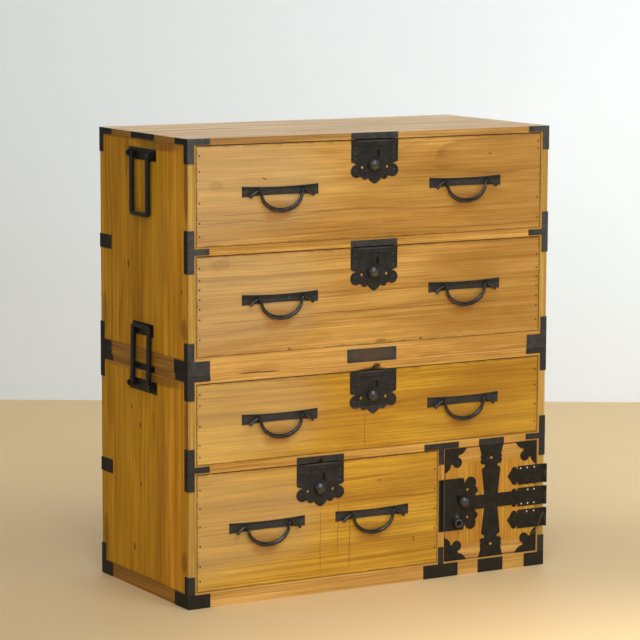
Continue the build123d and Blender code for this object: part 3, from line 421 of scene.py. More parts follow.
def front_marks(n):
    """What every front shows: a painted sheen at the left end and painted shade at the right, dirty joints,
    the key pocket and the gap above the plate painted black as their shade, and painted warm shadow and
    reflection under the bails.
    """
    low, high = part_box(f"drawer_{n}_front")
    centre, half = (low + high) / 2, (high - low) / 2
    apart = handles[n][0] / 1000
    # Painted light: the pale stain over the left end is painted sheen, and the dark one over the right end is
    # painted shade.
    return [stain(face(-0.40, centre.z + 0.02), (0.34, 0.1, 0.17), PAINTED_SHEEN, 0.36),
            stain(face(0.41, centre.z), (0.25, 0.1, 0.2), PAINTED_SHADE, 0.32),
            grime(centre, half, UMBER, 0.8),
            # Painted shade: the key pocket behind the keyhole and the gap between the plate and the iron
            # above it are painted black.
            area((centre.x + 0.007, FACE_Y + 0.005, high.z - 0.031), (0.009, 0.03, 0.019), SOOT_AND_SHADE, 1),
            area(face(centre.x, high.z), (PLATE_HALF, 0.03, 0.005), SOOT_AND_SHADE, 0.95)] + [
            # Painted shadow and reflection: warm stains below each bail stand for its shadow and the colour
            # it throws on the wood.
            stain(face(centre.x + side * apart - 0.008, centre.z - down), (0.045, 0.03, 0.016), EMBER, 0.5)
            for side in (-1, 1) for down in (0.026, 0.05)]


# The large dark brown stains right of each front's middle are painted shade.
front_looks = {
    1: (3.1, (0, 0.05, 0.99), 0.0052, 0.026, GOLD, [
        stain(face(0.09, 0.93), (0.22, 0.1, 0.13), PAINTED_SHADE, 0.15),
        split(face(-0.30, 0.868), (0.16, 0.0006, 0.012, 0.25), SOOT_AND_SHADE, 0.55),
        split(face(-0.25, 0.885), (0.2, 0.0006, 0.012, 0.3), SOOT_AND_SHADE, 0.5),
        split(face(0.02, 0.853), (0.13, 0.0005, 0.01, 0.35), SOOT_AND_SHADE, 0.4),
        stain(face(-0.41, 0.952), (0.024, 0.02, 0.013), UMBER, 0.2),
        stain(face(-0.287, 0.963), (0.008, 0.02, 0.0025), SOOT_AND_SHADE, 0.6, (0, 0.4, 0)),
        stain(face(0.315, 0.998), (0.006, 0.02, 0.003), SOOT_AND_SHADE, 0.6)]),
    2: (8.4, (0, 0.1, 0.56), 0.0045, 0.024, BRIGHT, [
        split(face(0.10, 0.651), (0.34, 0.0007, 0.004, 0.2), SOOT_AND_SHADE, 0.75),
        split(face(-0.26, 0.645), (0.2, 0.0005, 0.006, 0.3), SOOT_AND_SHADE, 0.5),
        stain(face(-0.40, 0.775), (0.034, 0.02, 0.016), UMBER, 0.2),
        stain(face(0.22, 0.68), (0.16, 0.1, 0.12), PAINTED_SHADE, 0.25),
        stain(face(0.02, 0.577), (0.02, 0.02, 0.006), UMBER, 0.5),
        stain(face(-0.222, 0.575), (0.005, 0.02, 0.003), SOOT_AND_SHADE, 0.7),
        stain(face(0.128, 0.575), (0.006, 0.02, 0.003), SOOT_AND_SHADE, 0.7)]),
    3: (5.7, (0, 0.2, 0.36), 0.005, 0.02, AMBER, [
        stain(face(0.25, 0.42), (0.2, 0.1, 0.11), PAINTED_SHADE, 0.22),
        split(face(-0.022, 0.372), (0.045, 0.0006, 0.003, 0.2), SOOT_AND_SHADE, 0.65, UPRIGHT),
        split(face(-0.25, 0.385), (0.16, 0.0005, 0.01, 0.3), UMBER, 0.4),
        split(face(0.05, 0.36), (0.3, 0.0005, 0.012, 0.3), UMBER, 0.4)]),
    4: (1.3, (0, 0.1, 0.36), 0.0048, 0.024, AMBER, [
        stain(face(0.13, 0.16), (0.15, 0.1, 0.16), PAINTED_SHADE, 0.22),
        split(face(-0.139, 0.12), (0.085, 0.0006, 0.004, 0.15), SOOT_AND_SHADE, 0.6, UPRIGHT),
        split(face(-0.092, 0.15), (0.08, 0.0006, 0.006, 0.2), SOOT_AND_SHADE, 0.6, UPRIGHT),
        split(face(-0.061, 0.11), (0.065, 0.0008, 0.006, 0.15), SOOT_AND_SHADE, 0.7, UPRIGHT),
        split(face(0.113, 0.102), (0.008, 0.0012, 0.003, 0.1), SOOT_AND_SHADE, 0.8, UPRIGHT),
        stain(face(0.018, 0.25), (0.008, 0.02, 0.003), SOOT_AND_SHADE, 0.5)]),
}
for n, (seed, heart, ring, flow, colours, marks) in front_looks.items():
    dress_wood(f"drawer_{n}_front_wood", [f"drawer_{n}_front"], "x", seed, heart, ring, flow, colours,
               front_marks(n) + marks, 0.42, 0.4)
print("fronts finished:", len(front_looks))

# %% [markdown]
# ## The case boards
# The sides are wide softwood planks with upright grain, never waxed as often as the fronts, so they are
# browner and duller, with knots. The plinths and rails follow the fronts. The top is painted pale, as a
# painted reflection of the pale wall that it catches at a low angle. The backs and the drawer boxes were
# never finished.

# %% Finish the sides
OLIVE = ((0.74, 0.38, 0.02), (0.53, 0.25, 0.012), (0.25, 0.095, 0.005))
SIENNA = ((0.80, 0.39, 0.026), (0.62, 0.27, 0.014), (0.28, 0.10, 0.006))
STRAW = ((0.66, 0.42, 0.105), (0.50, 0.285, 0.06), (0.29, 0.12, 0.02))
SIDE_X = 0.48


def left(y, z):
    """A place on the chest's left face."""
    return -SIDE_X, y, z


def knot(y, z, size):
    """A knot in a side board, longer than it is wide."""
    return stain(left(y, z), (0.05, size, size * 1.9), SOOT_AND_SHADE, 0.7)


side_looks = {
    "upper_sides": (2.2, 0.1, [knot(0.075, 0.752, 0.006), knot(-0.19, 0.715, 0.004),
                               knot(0.07, 0.895, 0.003)]),
    "lower_sides": (6.1, -0.06, [knot(0.018, 0.385, 0.005), knot(0.05, 0.095, 0.006),
                                 knot(0.015, 0.248, 0.004), knot(0.062, 0.422, 0.004)]),
}
for node, (seed, heart_y, knots) in side_looks.items():
    low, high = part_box(node)
    middle, half = (low.z + high.z) / 2, (high.z - low.z) / 2
    near_board = board(left(-0.16, 0.5), (1, 0.055, 1), 0.0008,
                       "z", seed + 5, (0, heart_y, 0.7), 0.0032, 0.016, SIENNA)
    front_edge = board((0, FACE_Y - 0.0005, 0.5), (1, 0.0012, 1), 0.0004,
                       "z", seed + 2, (0, 0.3, 0.7), 0.004, 0.02, STRAW)
    soot = [grime(left(0, middle), (0.22, 0.5, half), UMBER, 0.7, ALONG["y"]),
            stain(left(-0.212, high.z - 0.1), (0.05, 0.014, 0.09), UMBER, 0.6),
            stain(left(-0.08, high.z - 0.008), (0.05, 0.13, 0.016), UMBER, 0.55),
            stain(left(-0.2, low.z + 0.07), (0.05, 0.02, 0.03), UMBER, 0.5),
            stain(left(0.2, low.z + 0.06), (0.05, 0.016, 0.07), UMBER, 0.5),
            stain(left(-0.1, middle), (0.05, 0.03, 0.12), EMBER, 0.4)]
    dress_wood(node + "_wood", [node], "z", seed, (0, heart_y, 0.9), 0.0032, 0.018, OLIVE,
               [near_board] + soot + knots + [front_edge], 0.62, 0.1)
print("sides finished:", len(side_looks))

# %% Finish the plinths, rails and top
HONEY = ((0.82, 0.48, 0.13), (0.63, 0.33, 0.072), (0.34, 0.15, 0.03))
RAIL = ((0.74, 0.41, 0.09), (0.56, 0.28, 0.05), (0.28, 0.115, 0.018))
LOAM = ((0.42, 0.19, 0.012), (0.29, 0.118, 0.006), (0.12, 0.04, 0.003))
PALE_REFLECTION = ((0.93, 0.63, 0.32), (0.78, 0.50, 0.235), (0.5, 0.28, 0.11))
TOP_Z = 1.058


def end_boards(middle, half, blur, seed, ring):
    """The dark, thirsty wood that shows at the left and right faces."""
    return [board((side * SIDE_X, 0, middle), half, blur, "y", seed, (0, 0.3, middle + 0.1), ring, 0.02, LOAM)
            for side in (-1, 1)]


for node, middle in (("upper_base", 0.55), ("lower_base", 0.018)):
    sills = end_boards(middle, (0.016, 0.204, 0.1), 0.0008, 3.7, 0.004)
    dress_wood(node + "_wood", [node], "x", 4.4, (0, 0.3, 0.5), 0.004, 0.02, HONEY, sills, 0.46)
# Painted shadow: the gaps between the lock plates and the keepers on the rails are painted black.
rail_marks = [area(face(x, z), (PLATE_HALF, 0.03, half), SOOT_AND_SHADE, 0.95)
              for x, z, half in ((0, 0.7935, 0.007), (0, 0.502, 0.006), (-0.141, 0.304, 0.013))]
rail_marks += [stain(face(-0.005, 0.511), (0.05, 0.02, 0.006), SOOT_AND_SHADE, 0.9),
               stain(face(0.01, 0.519), (0.013, 0.02, 0.008), SOOT_AND_SHADE, 0.9),
               split(face(-0.3, 0.5275), (0.06, 0.0011, 0.003, 0.2), SOOT_AND_SHADE, 0.9)]
rail_marks += end_boards(0.522, (0.0012, 0.3, 0.01), 0.0004, 5.1, 0.003)
rails = ["upper_rail", "lower_rail"]
dress_wood("rail_wood", rails, "x", 7.5, (0, 0.3, 0.1), 0.004, 0.03, RAIL, rail_marks, 0.46)
dress_wood("lower_top_wood", ["lower_top"], "x", 6.4, (0, 0.3, 0.1), 0.004, 0.03, HONEY, rail_marks, 0.46)
dress_wood("stile_wood", ["partition"], "z", 9.2, (0, 0.3, 0.5), 0.004, 0.03, RAIL)
# The board over the top is painted pale as a reflection of the wall, and the gap above the top drawer's plate
# is painted black as its shadow.
top_marks = end_boards(1.05, (0.0012, 0.3, 0.0075), 0.0004, 5.1, 0.003) + [
    board((0, 0, TOP_Z + 0.0005), (0.6, 0.3, 0.0012), 0.0004, "x", 1.9, (0, 0.05, 0.85), 0.007, 0.05, PALE_REFLECTION),
    stain((-0.3, FACE_Y - 0.0005, 1.052), (0.36, 0.004, 0.014), UMBER, 0.55),
    stain((0.3, FACE_Y - 0.0005, 1.052), (0.36, 0.004, 0.014), UMBER, 0.35),
    area(face(0, 1.043), (PLATE_HALF, 0.03, 0.0035), SOOT_AND_SHADE, 1),
    split((0.12, 0.06, TOP_Z), (0.3, 0.0012, 0.012, 0.25), UMBER, 0.7, (math.radians(90), 0, 0))]
dress_wood("top_wood", ["upper_top"], "x", 1.9, (0, 0.3, 0.9), 0.004, 0.02, HONEY, top_marks)
print("marks on the rails:", len(rail_marks), "and on the top:", len(top_marks))

# %% Finish the drawer boxes, the backs, the inner drawers and the door
BARE = ((0.58, 0.43, 0.26), (0.47, 0.32, 0.17), (0.30, 0.18, 0.085))
HONEY_RED = ((0.72, 0.38, 0.05), (0.56, 0.26, 0.028), (0.30, 0.11, 0.012))
RED = ((0.44, 0.17, 0.05), (0.33, 0.11, 0.03), (0.14, 0.04, 0.012))
DRAWERS, DOOR_X, DOOR_Z = (1, 2, 3, 4), 0.329, 0.17125
for n in DRAWERS:
    low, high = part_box(f"drawer_{n}_box")
    middle, half = (low + high) / 2, (high - low) / 2
    walls = [board((x, middle.y, middle.z), (0.0125, half.y + 0.01, half.z + 0.01), 0.0004,
                   "y", n + x, (x * 0.7, 0, high.z + 0.12), 0.006, 0.05, BARE) for x in (low.x, high.x)]
    box = [f"drawer_{n}_box"]
    dress_wood(f"drawer_{n}_wood", box, "x", 0.6 + n, (0, 0.5, 0.4), 0.006, 0.05, BARE, walls, 0.7)
backs = ["upper_back", "lower_back"]
dress_wood("back_wood", backs, "z", 3.3, (0, 0.9, 0.4), 0.005, 0.05, BARE, (), 0.72)
inner_parts = [f"inner_{row}_{part}" for row in ("upper", "lower") for part in ("drawer", "pull")]
dress_wood("inner_wood", inner_parts, "x", 5.2, (0, 0.3, 0.2), 0.004, 0.04, GOLD, (), 0.55)
door_ends = [board(face(DOOR_X, DOOR_Z + side * 0.119), (0.2, 0.03, 0.0205), 0.0006,
                   "x", 7.1 + side, (0, 0.4, 0.2), 0.004, 0.02, BRIGHT) for side in (-1, 1)]
dress_wood("door_wood", ["door_panel"], "z", 2.7, (0, 0.3, 0.9), 0.004, 0.02, HONEY_RED, door_ends, 0.45)
dress_wood("lipping_wood", ["door_lipping"], "x", 0.9, (0, 0.3, 0.3), 0.01, 0.03, RED, (), 0.45)
print("wood finishes:", len([m for m in bpy.data.materials if m.name.endswith("_wood")]))

# %% [markdown]
# ## Iron finishes
# The black is a thin skin and not bare metal, so it is only partly metallic. Every iron comes from the same
# two groups, each with its own colours and shine: the dull sheet on the case, the lock plates, the forged
# bars of the handles and loops, and the steel of the knobs, which hands keep bright.

# %% Function: iron_finish
def iron_finish(title, seed, dark, light, bright, metal, rough, bloom, gloss=0.5, marks=(), flecks=0.42):
    """An iron material: a dark mottled skin, brown bloom, marks, and wear along the edges."""
    material, tree, shader, spot = new_finish(title)
    skin = use(tree, forge_skin, {"Vector": spot, "Seed": seed})
    worn = use(tree, edge_wear, {"Vector": spot, "Radius": 0.0009})["Mask"]
    colour = blend(tree, skin["Mottle"], (*dark, 1), (*light, 1))
    colour = blend(tree, product(tree, skin["Bloom"], bloom), colour, (0.11, 0.045, 0.018, 1))
    colour = blend(tree, product(tree, skin["Flecks"], flecks), colour, (*bright, 1))
    every_mark = [wandering_line, ragged_spot, board_area]
    colour, height = paint_marks(tree, spot, marks, colour, skin["Height"], every_mark, 0.6)
    dull = ramp(tree, skin["Mottle"], rough + 0.08, rough - 0.06)
    lay_on(tree, shader, blend(tree, worn, colour, (*bright, 1)), dull, height, 0.35, 0.0005)
    shader.inputs["Metallic"].default_value = metal
    shader.inputs["Specular IOR Level"].default_value = gloss
    return material

# %% Finish the sheet iron and the lock plates
SHADE_BLACK, DARKER_BLACK, FLOOR_REFLECTION_BROWN = (0.006, 0.0058, 0.005), (0.03, 0.028, 0.024), (0.022, 0.016, 0.009)
BLACK, GREY, PALE_HIGHLIGHT_AND_WEAR = (0.002, 0.002, 0.002), (0.07, 0.068, 0.062), (0.14, 0.142, 0.145)
RUST, RIM = (0.13, 0.078, 0.045), (0.085, 0.083, 0.078)
IRON_TOP, MARK_Y = 0.0016, -0.222
CUT_Y = FACE_Y - IRON_TOP
# Painted shade: the irons of the lower case are painted darker than the upper ones, where less sheen falls.
sheet_marks = [area((0, 0, 0.2), (1, 1, 0.33), DARKER_BLACK, 0.6),
               # Painted reflection: a brown band along the bottom of the irons stands for the floor reflected
               # in them.
               area((0, 0, 0), (1, 1, 0.034), FLOOR_REFLECTION_BROWN, 0.7),
               # Painted shadow: the strip on the stile is darkened, and the gap between it and the door's
               # lock plate is painted black.
               area((0.1872, MARK_Y, 0.171), (0.0066, 0.004, 0.0625), SHADE_BLACK, 0.7),
               area((0.1908, MARK_Y, 0.171), (0.0032, 0.004, 0.0615), BLACK, 1),
               stain((-0.005, MARK_Y, 0.548), (0.075, 0.02, 0.019), RUST, 0.65),
               area((0.45, MARK_Y, 0.8065), (0.022, 0.004, 0.0075), DARKER_BLACK, 0.6)]
# Painted sheen: the upper irons at both front corners are painted lighter.
sheet_marks += [area((side * 0.459, MARK_Y, 0.9), (0.021, 0.01, 0.17), PALE_HIGHLIGHT_AND_WEAR, 0.22) for side in (-1, 1)]
# Painted shade: the irons on the two sides are painted near black.
sheet_marks += [area((side * 0.482, 0, 0.5), (0.0018, 0.2205, 1), SHADE_BLACK, 0.93) for side in (-1, 1)]
sheet_iron = iron_finish("sheet_iron", 1.0, (0.038, 0.038, 0.038), (0.07, 0.071, 0.071), (0.15, 0.15, 0.145),
                         0.0, 0.45, 0.35, 0.18, sheet_marks)
dress(sheet_iron, ["upper_irons", "lower_irons", "hinge_leaves"])


def plate_marks(n):
    """Marks on a drawer's lock plate: the cut under the fold, a painted highlight along its top edge, and the
    keyhole painted black, as the shade in it and a smudge of wear round it.
    """
    low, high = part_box(f"drawer_{n}_front")
    middle, top = (low.x + high.x) / 2, high.z
    return [split((middle, CUT_Y, top - 0.0145), (0.047, 0.0006, 0.004, 0.1), BLACK, 0.8),
            split((middle, CUT_Y, top - 0.0025), (0.05, 0.0007, 0.0, 0.1), PALE_HIGHLIGHT_AND_WEAR, 0.6),
            stain((middle + 0.0075, MARK_Y, top - 0.0275), (0.0038, 0.004, 0.0065), BLACK, 1),
            stain((middle + 0.0095, MARK_Y, top - 0.036), (0.0045, 0.004, 0.006), BLACK, 1),
            area((middle, MARK_Y, (low.z + top) / 2 - 0.0025), (0.36, 0.003, 0.0125), GREY, 0.4)]


for n in DRAWERS:
    plate_iron = iron_finish(f"plate_iron_{n}", 2.0 + n, (0.019, 0.0187, 0.018), (0.0345, 0.0335, 0.0318),
                             (0.10, 0.095, 0.085), 0.0, 0.6, 0.3, 0.2, plate_marks(n))
    dress(plate_iron, [f"drawer_{n}_irons", f"drawer_{n}_lock_bolt"])
stub_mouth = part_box("door_lock_plate")[0].y
# Painted light on the door's plate: a pale spot on top of the pull stub is painted highlight and wear, the
# pale line down the plate's left edge is a painted highlight, and the keyhole is painted black as its shade.
door_iron_marks = [area((0.2327, stub_mouth, 0.131), (0.013, 0.0014, 0.013), RIM, 1),
                   stain((0.2327, stub_mouth + 0.006, 0.146), (0.009, 0.006, 0.008), PALE_HIGHLIGHT_AND_WEAR, 0.7),
                   area((0.1975, MARK_Y, DOOR_Z), (0.0009, 0.003, 0.0605), PALE_HIGHLIGHT_AND_WEAR, 0.5),
                   stain((0.2345, MARK_Y, 0.1885), (0.0042, 0.004, 0.0065), BLACK, 1),
                   stain((0.2368, MARK_Y, 0.1795), (0.0045, 0.004, 0.0065), BLACK, 1)]
door_iron = iron_finish("door_iron", 3.0, (0.018, 0.016, 0.0115), (0.030, 0.027, 0.021),
                        (0.09, 0.08, 0.065), 0.0, 0.58, 0.35, 0.15, door_iron_marks)
dress(door_iron, ["door_irons", "door_hinge_straps", "door_lock_plate", "door_lock_bolt"])
print("the door's pull stub ends at y =", round(stub_mouth, 4))

# %% Finish the forged bars, the knobs, the wire and the nails
bail_iron = iron_finish("bail_iron", 5.0, (0.017, 0.016, 0.0145), (0.065, 0.061, 0.055),
                        (0.36, 0.34, 0.31), 0.6, 0.24, 0.15, 0.9, (), 0.22)
# Painted shade: the loops and their mounts stand on the shaded sides, so their iron is painted near black.
shaded_loop_iron = iron_finish("shaded_loop_iron", 6.0, (0.006, 0.0058, 0.0052), (0.014, 0.0135, 0.012),
                        (0.08, 0.08, 0.075), 0.1, 0.45, 0.2, 0.3)
bar_iron = iron_finish("bar_iron", 4.0, (0.014, 0.013, 0.012), (0.034, 0.033, 0.032),
                       (0.2, 0.2, 0.195), 0.35, 0.36, 0.3)
knob_steel = iron_finish("knob_steel", 7.0, (0.03, 0.03, 0.029), (0.07, 0.07, 0.068),
                         (0.4, 0.4, 0.39), 0.4, 0.26, 0.15, 0.9, (), 0.06)
wire_iron = iron_finish("wire_iron", 8.5, (0.10, 0.09, 0.075), (0.22, 0.2, 0.17),
                        (0.3, 0.28, 0.25), 0.4, 0.5, 0.1)
nail_steel = iron_finish("nail_steel", 8.0, (0.8, 0.8, 0.77), (0.95, 0.95, 0.92),
                         (0.9, 0.9, 0.88), 0.2, 0.45, 0.05)
dress(shaded_loop_iron, [f"{case}_{part}" for case in ("upper", "lower")
                  for part in ("loop_mounts", "left_loop", "right_loop")])
print("finishes so far:", len(bpy.data.materials))

# %% [markdown]
# ## Tools for forging
# Operators work on whatever is selected, and the frame's nodes arrive selected, so everything is deselected
# before each new piece. `start_ring` starts a round bar from a circle, and `draw_out` moves on to the next
# station: it extrudes the open end, turns it about its own centre, and changes its thickness.

# %% Forging tools
def start_ring(radius, sides, centre, turned):
    """A circle to forge from, alone in edit mode and all selected."""
    bpy.ops.object.select_all(action="DESELECT")
    bpy.ops.mesh.primitive_circle_add(vertices=sides, radius=radius, location=centre, rotation=turned)
    bpy.ops.object.mode_set(mode="EDIT")
    bpy.ops.mesh.select_all(action="SELECT")
    return bpy.context.object


def draw_out(step, swing, centre, factor):
    """Extrude the open end, turn it about its new centre, and change its thickness."""
    bpy.ops.mesh.extrude_region_move(TRANSFORM_OT_translate={"value": step})
    if swing:
        bpy.ops.transform.rotate(value=swing, orient_axis="Y", center_override=centre)
    bpy.ops.transform.resize(value=(factor,) * 3, center_override=centre)


def bake_place(piece):
    """Apply the object's place, so that it sits at the origin with its place in its mesh."""
    bpy.ops.object.select_all(action="DESELECT")
    piece.select_set(True)
    bpy.context.view_layer.objects.active = piece
    bpy.ops.object.transform_apply(location=True, rotation=True, scale=True)


def leave_anvil():
    """Turns every face of the open piece outwards, and leaves edit mode."""
    bpy.ops.mesh.select_all(action="SELECT")
    bpy.ops.mesh.normals_make_consistent(inside=False)
    bpy.ops.object.mode_set(mode="OBJECT")


def hand_over(piece, title, material, body):
    """Names a finished piece, gives it its material and slot, and lets it ride on a body."""
    piece.name = title
    piece.data.materials.clear()
    piece.data.materials.append(material)
    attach(piece, body)


def copy_of(pattern, place):
    """A copy of a pattern piece with its own mesh, moved to its place."""
    piece = pattern.copy()
    piece.data = pattern.data.copy()
    piece.data.transform(place)
    bpy.context.scene.collection.objects.link(piece)
    return piece

# %% [markdown]
# ## The bails
# Each drawer handle is one forged bar: thick where the hand closes, drawn thin through the two eyes, and left
# blunt at its turned-out tips. One half is drawn out station by station from a ring at the middle of the
# grip, and a mirror makes the other half. A curve with a bevel would be quicker, but here each station is a
# step of the smith's work, with its own turn and thickness.

# %% Forge one bail
GRIP_DROP, GRIP_RADIUS, GRIP_SIDES = 45.5, 5.6, 12
bail_stations = [  # across, up, radius (all in millimetres) and the bar's slope in degrees
    (11.2, -44.9, 5.60, 7), (22.2, -42.4, 5.40, 19), (32.3, -37.5, 5.01, 32), (41.3, -30.8, 4.65, 42),
    (48.0, -22.8, 4.30, 58), (51.4, -14.6, 3.75, 78), (52.2, -7.6, 3.25, 80), (53.4, -2.8, 3.20, 58),
    (55.8, -0.6, 3.20, 20), (58.3, -0.1, 3.20, 1), (61.2, -0.4, 3.20, -12), (65.3, -1.9, 3.20, -24),
    (70.3, -4.5, 3.35, -32), (76.0, -8.6, 3.9, -39), (83.0, -14.6, 4.4, -41),
]
spot, heading, thick = Vector((0, 0, -GRIP_DROP)), 0, GRIP_RADIUS
bail_pattern = start_ring(GRIP_RADIUS / 1000, GRIP_SIDES, spot / 1000, (0, math.radians(90), 0))
for x, z, radius, angle in bail_stations:
    step = (Vector((x, 0, z)) - spot) / 1000
    draw_out(step, math.radians(angle - heading), Vector((x, 0, z)) / 1000, radius / thick)
    spot, heading, thick = Vector((x, 0, z)), angle, radius
bpy.ops.mesh.edge_face_add()
bpy.ops.mesh.inset(thickness=0.0013, depth=0.0009)
bpy.ops.object.mode_set(mode="OBJECT")
bake_place(bail_pattern)
mirror = bail_pattern.modifiers.new("other half", "MIRROR")
mirror.use_clip = True
smooth = bail_pattern.modifiers.new("worn round", "SUBSURF")
smooth.levels = smooth.render_levels = 1
for modifier in (mirror, smooth):
    bpy.ops.object.modifier_apply(modifier=modifier.name)
print("bail:", len(bail_pattern.data.polygons), "faces, size", [round(v, 4) for v in bail_pattern.dimensions])

# %% Hang the eight bails
PIVOT_Y, PIVOT_DROP = -0.2285, 0.0028
for n in DRAWERS:
    for side in ("left", "right"):
        node = f"drawer_{n}_{side}_bail"
        low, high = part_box(node)
        pivot = Vector(((low.x + high.x) / 2, PIVOT_Y, high.z - PIVOT_DROP))
        hung = copy_of(bail_pattern, Matrix.Translation(pivot))
        hand_over(hung, f"{node}_forged", bail_iron, f"drawer_{n}_{side}_handle")
        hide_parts(node)
        print(node, "at", [round(v, 3) for v in pivot])
bpy.data.objects.remove(bail_pattern)

# %% [markdown]
# ## The lock knobs
# A lock knob is turned in one piece with its spindle, and a crank on the spindle's far end carries the pin
# that slides the bolt. The round parts are drawn out of one ring, from the spindle's tail to the crown, so
# they have no seams. The crank is a bar with its edges rounded over, and the pin is a short drawn ring.

# %% Turning tools
def lathe(title, sides, profile, centre=(0, 0)):
    """A closed turned piece about +Z from (height, radius) stations in millimetres."""
    height, radius = profile[0]
    piece = start_ring(radius / 1000, sides, (0, 0, height / 1000), FLAT)
    bpy.ops.mesh.edge_face_add()
    bpy.ops.mesh.normals_make_consistent(inside=False)
    for next_height, next_radius in profile[1:]:
        rise, factor = (next_height - height) / 1000, next_radius / radius
        bpy.ops.mesh.extrude_region_move(TRANSFORM_OT_translate={"value": (0, 0, rise)})
        bpy.ops.transform.resize(value=(factor, factor, 1), center_override=FLAT)
        height, radius = next_height, next_radius
    leave_anvil()
    piece.name = title
    piece.location += Vector((*centre, 0)) / 1000
    bake_place(piece)
    return piece


def close_holes():
    """Fills the open rings of the active piece."""
    bpy.ops.object.mode_set(mode="EDIT")
    bpy.ops.mesh.select_all(action="DESELECT")
    bpy.ops.mesh.select_non_manifold()
    bpy.ops.mesh.edge_face_add()
    bpy.ops.object.mode_set(mode="OBJECT")


def join(pieces):
    """Joins pieces into the last of them."""
    bpy.ops.object.select_all(action="DESELECT")
    for piece in pieces:
        piece.select_set(True)
    bpy.context.view_layer.objects.active = pieces[-1]
    bpy.ops.object.join()

# %% Turn one knob
knob_profile = [(-7.0, 3.3), (-6.8, 3.5), (1.9, 3.5), (1.95, 13.4), (2.3, 14.6), (3.4, 15.0), (4.8, 14.9),
                (8.4, 14.1), (11.8, 12.3), (14.9, 9.6), (17.2, 6.2), (18.6, 2.6), (18.9, 0.6)]
knob_pattern = lathe("knob_pattern", 28, knob_profile)
knob_pattern.data.polygons.foreach_set("use_smooth", [True] * len(knob_pattern.data.polygons))
CRANK_ARM, CRANK_HEIGHT, CRANK_SIZE = 8.0, -5.7, (0.017, 0.009, 0.0026)
crank_turn = math.radians(-30)
crank_tip = Vector((math.cos(crank_turn), math.sin(crank_turn), 0)) * CRANK_ARM

crank_middle = (crank_tip / 2 + Vector((0, 0, CRANK_HEIGHT))) / 1000
bpy.ops.object.select_all(action="DESELECT")
bpy.ops.mesh.primitive_cube_add(size=1, location=crank_middle, rotation=(0, 0, crank_turn), scale=CRANK_SIZE)
crank = bpy.context.object
bake_place(crank)
bpy.ops.object.mode_set(mode="EDIT")
bpy.ops.mesh.select_all(action="SELECT")
bpy.ops.mesh.bevel(offset=0.0008, segments=2)
bpy.ops.object.mode_set(mode="OBJECT")
pin = lathe("pin", 12, [(-4.5, 1.4), (-4.4, 1.5), (-1.2, 1.5), (-1.0, 1.3)], (crank_tip.x, crank_tip.y))
close_holes()
join([crank, pin, knob_pattern])
close_holes()
bpy.ops.object.shade_smooth_by_angle(angle=math.radians(40))
print("knob:", len(knob_pattern.data.polygons), "faces")

# %% Fit the five knobs
def facing(place, across, normal):
    """The place matrix of a pattern whose +X runs across and whose +Z stands out of a face."""
    across, normal = Vector(across), Vector(normal)
    return Matrix.Translation(place) @ Matrix((across, normal.cross(across), normal)).transposed().to_4x4()


TO_FRONT, TO_LEFT, TO_RIGHT = (0, -1, 0), (-1, 0, 0), (1, 0, 0)
SPINDLE_ASIDE, SPINDLE_DROP, DOOR_SPINDLE = 0.003, 0.057, (0.2512, 0.17625)
knob_places = {}
for n in DRAWERS:
    low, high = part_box(f"drawer_{n}_front")
    spindle = face((low.x + high.x) / 2 - SPINDLE_ASIDE, high.z - SPINDLE_DROP)
    knob_places[f"drawer_{n}"] = facing(spindle, (1, 0, 0), TO_FRONT)
knob_places["door"] = facing(face(*DOOR_SPINDLE), (0, 0, 1), TO_FRONT)
for owner, place in knob_places.items():
    fitted = copy_of(knob_pattern, place)
    hand_over(fitted, f"{owner}_knob_turned", knob_steel, f"{owner}_knob")
    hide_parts(f"{owner}_lock_knob")
bpy.data.objects.remove(knob_pattern)
print("knobs fitted:", len(knob_places))

# %% [markdown]
# ## Nails and pegs
# Every strap is nailed, with small hammered heads that stand under a millimetre proud, and the drawer fronts
# are pegged to their boxes along both ends. One head is shaped from an eight-sided ring, and its copies are
# joined into one piece for each body and finish. Nails are listed by the face that they are driven into, as
# the two coordinates on that face in millimetres.

# %% Shape a nail and a peg, and the way to drive them
HEAD_SIDES = 8
nail_profile = [(-1.0, 1.1), (-0.05, 1.3), (0.0, 2.1), (0.35, 2.0), (0.7, 1.2), (0.8, 0.4)]
peg_profile = [(-2.0, 1.8), (0.0, 2.2), (0.15, 2.1), (0.2, 1.2), (0.2, 0.3)]
nail_pattern = lathe("nail_pattern", HEAD_SIDES, nail_profile)
peg_pattern = lathe("peg_pattern", HEAD_SIDES, peg_profile)


def driven(pattern, title, material, body, places):
    """Copies of a small head joined into one piece that rides on a body."""
    heads = [copy_of(pattern, place) for place in places]
    join(heads)
    hand_over(heads[-1], title, material, body)


def on_front(points, stand=IRON_TOP):
    """Places on the front face, from (x, z)."""
    return [facing((x / 1000, FACE_Y - stand, z / 1000), (1, 0, 0), TO_FRONT) for x, z in points]


def on_sides(points):
    """Places on the left face and then the right one, from (y, z)."""
    reach = SIDE_X + IRON_TOP
    return [facing((-reach, y / 1000, z / 1000), (0, -1, 0), TO_LEFT) for y, z in points] + [
            facing((reach, y / 1000, z / 1000), (0, 1, 0), TO_RIGHT) for y, z in points]

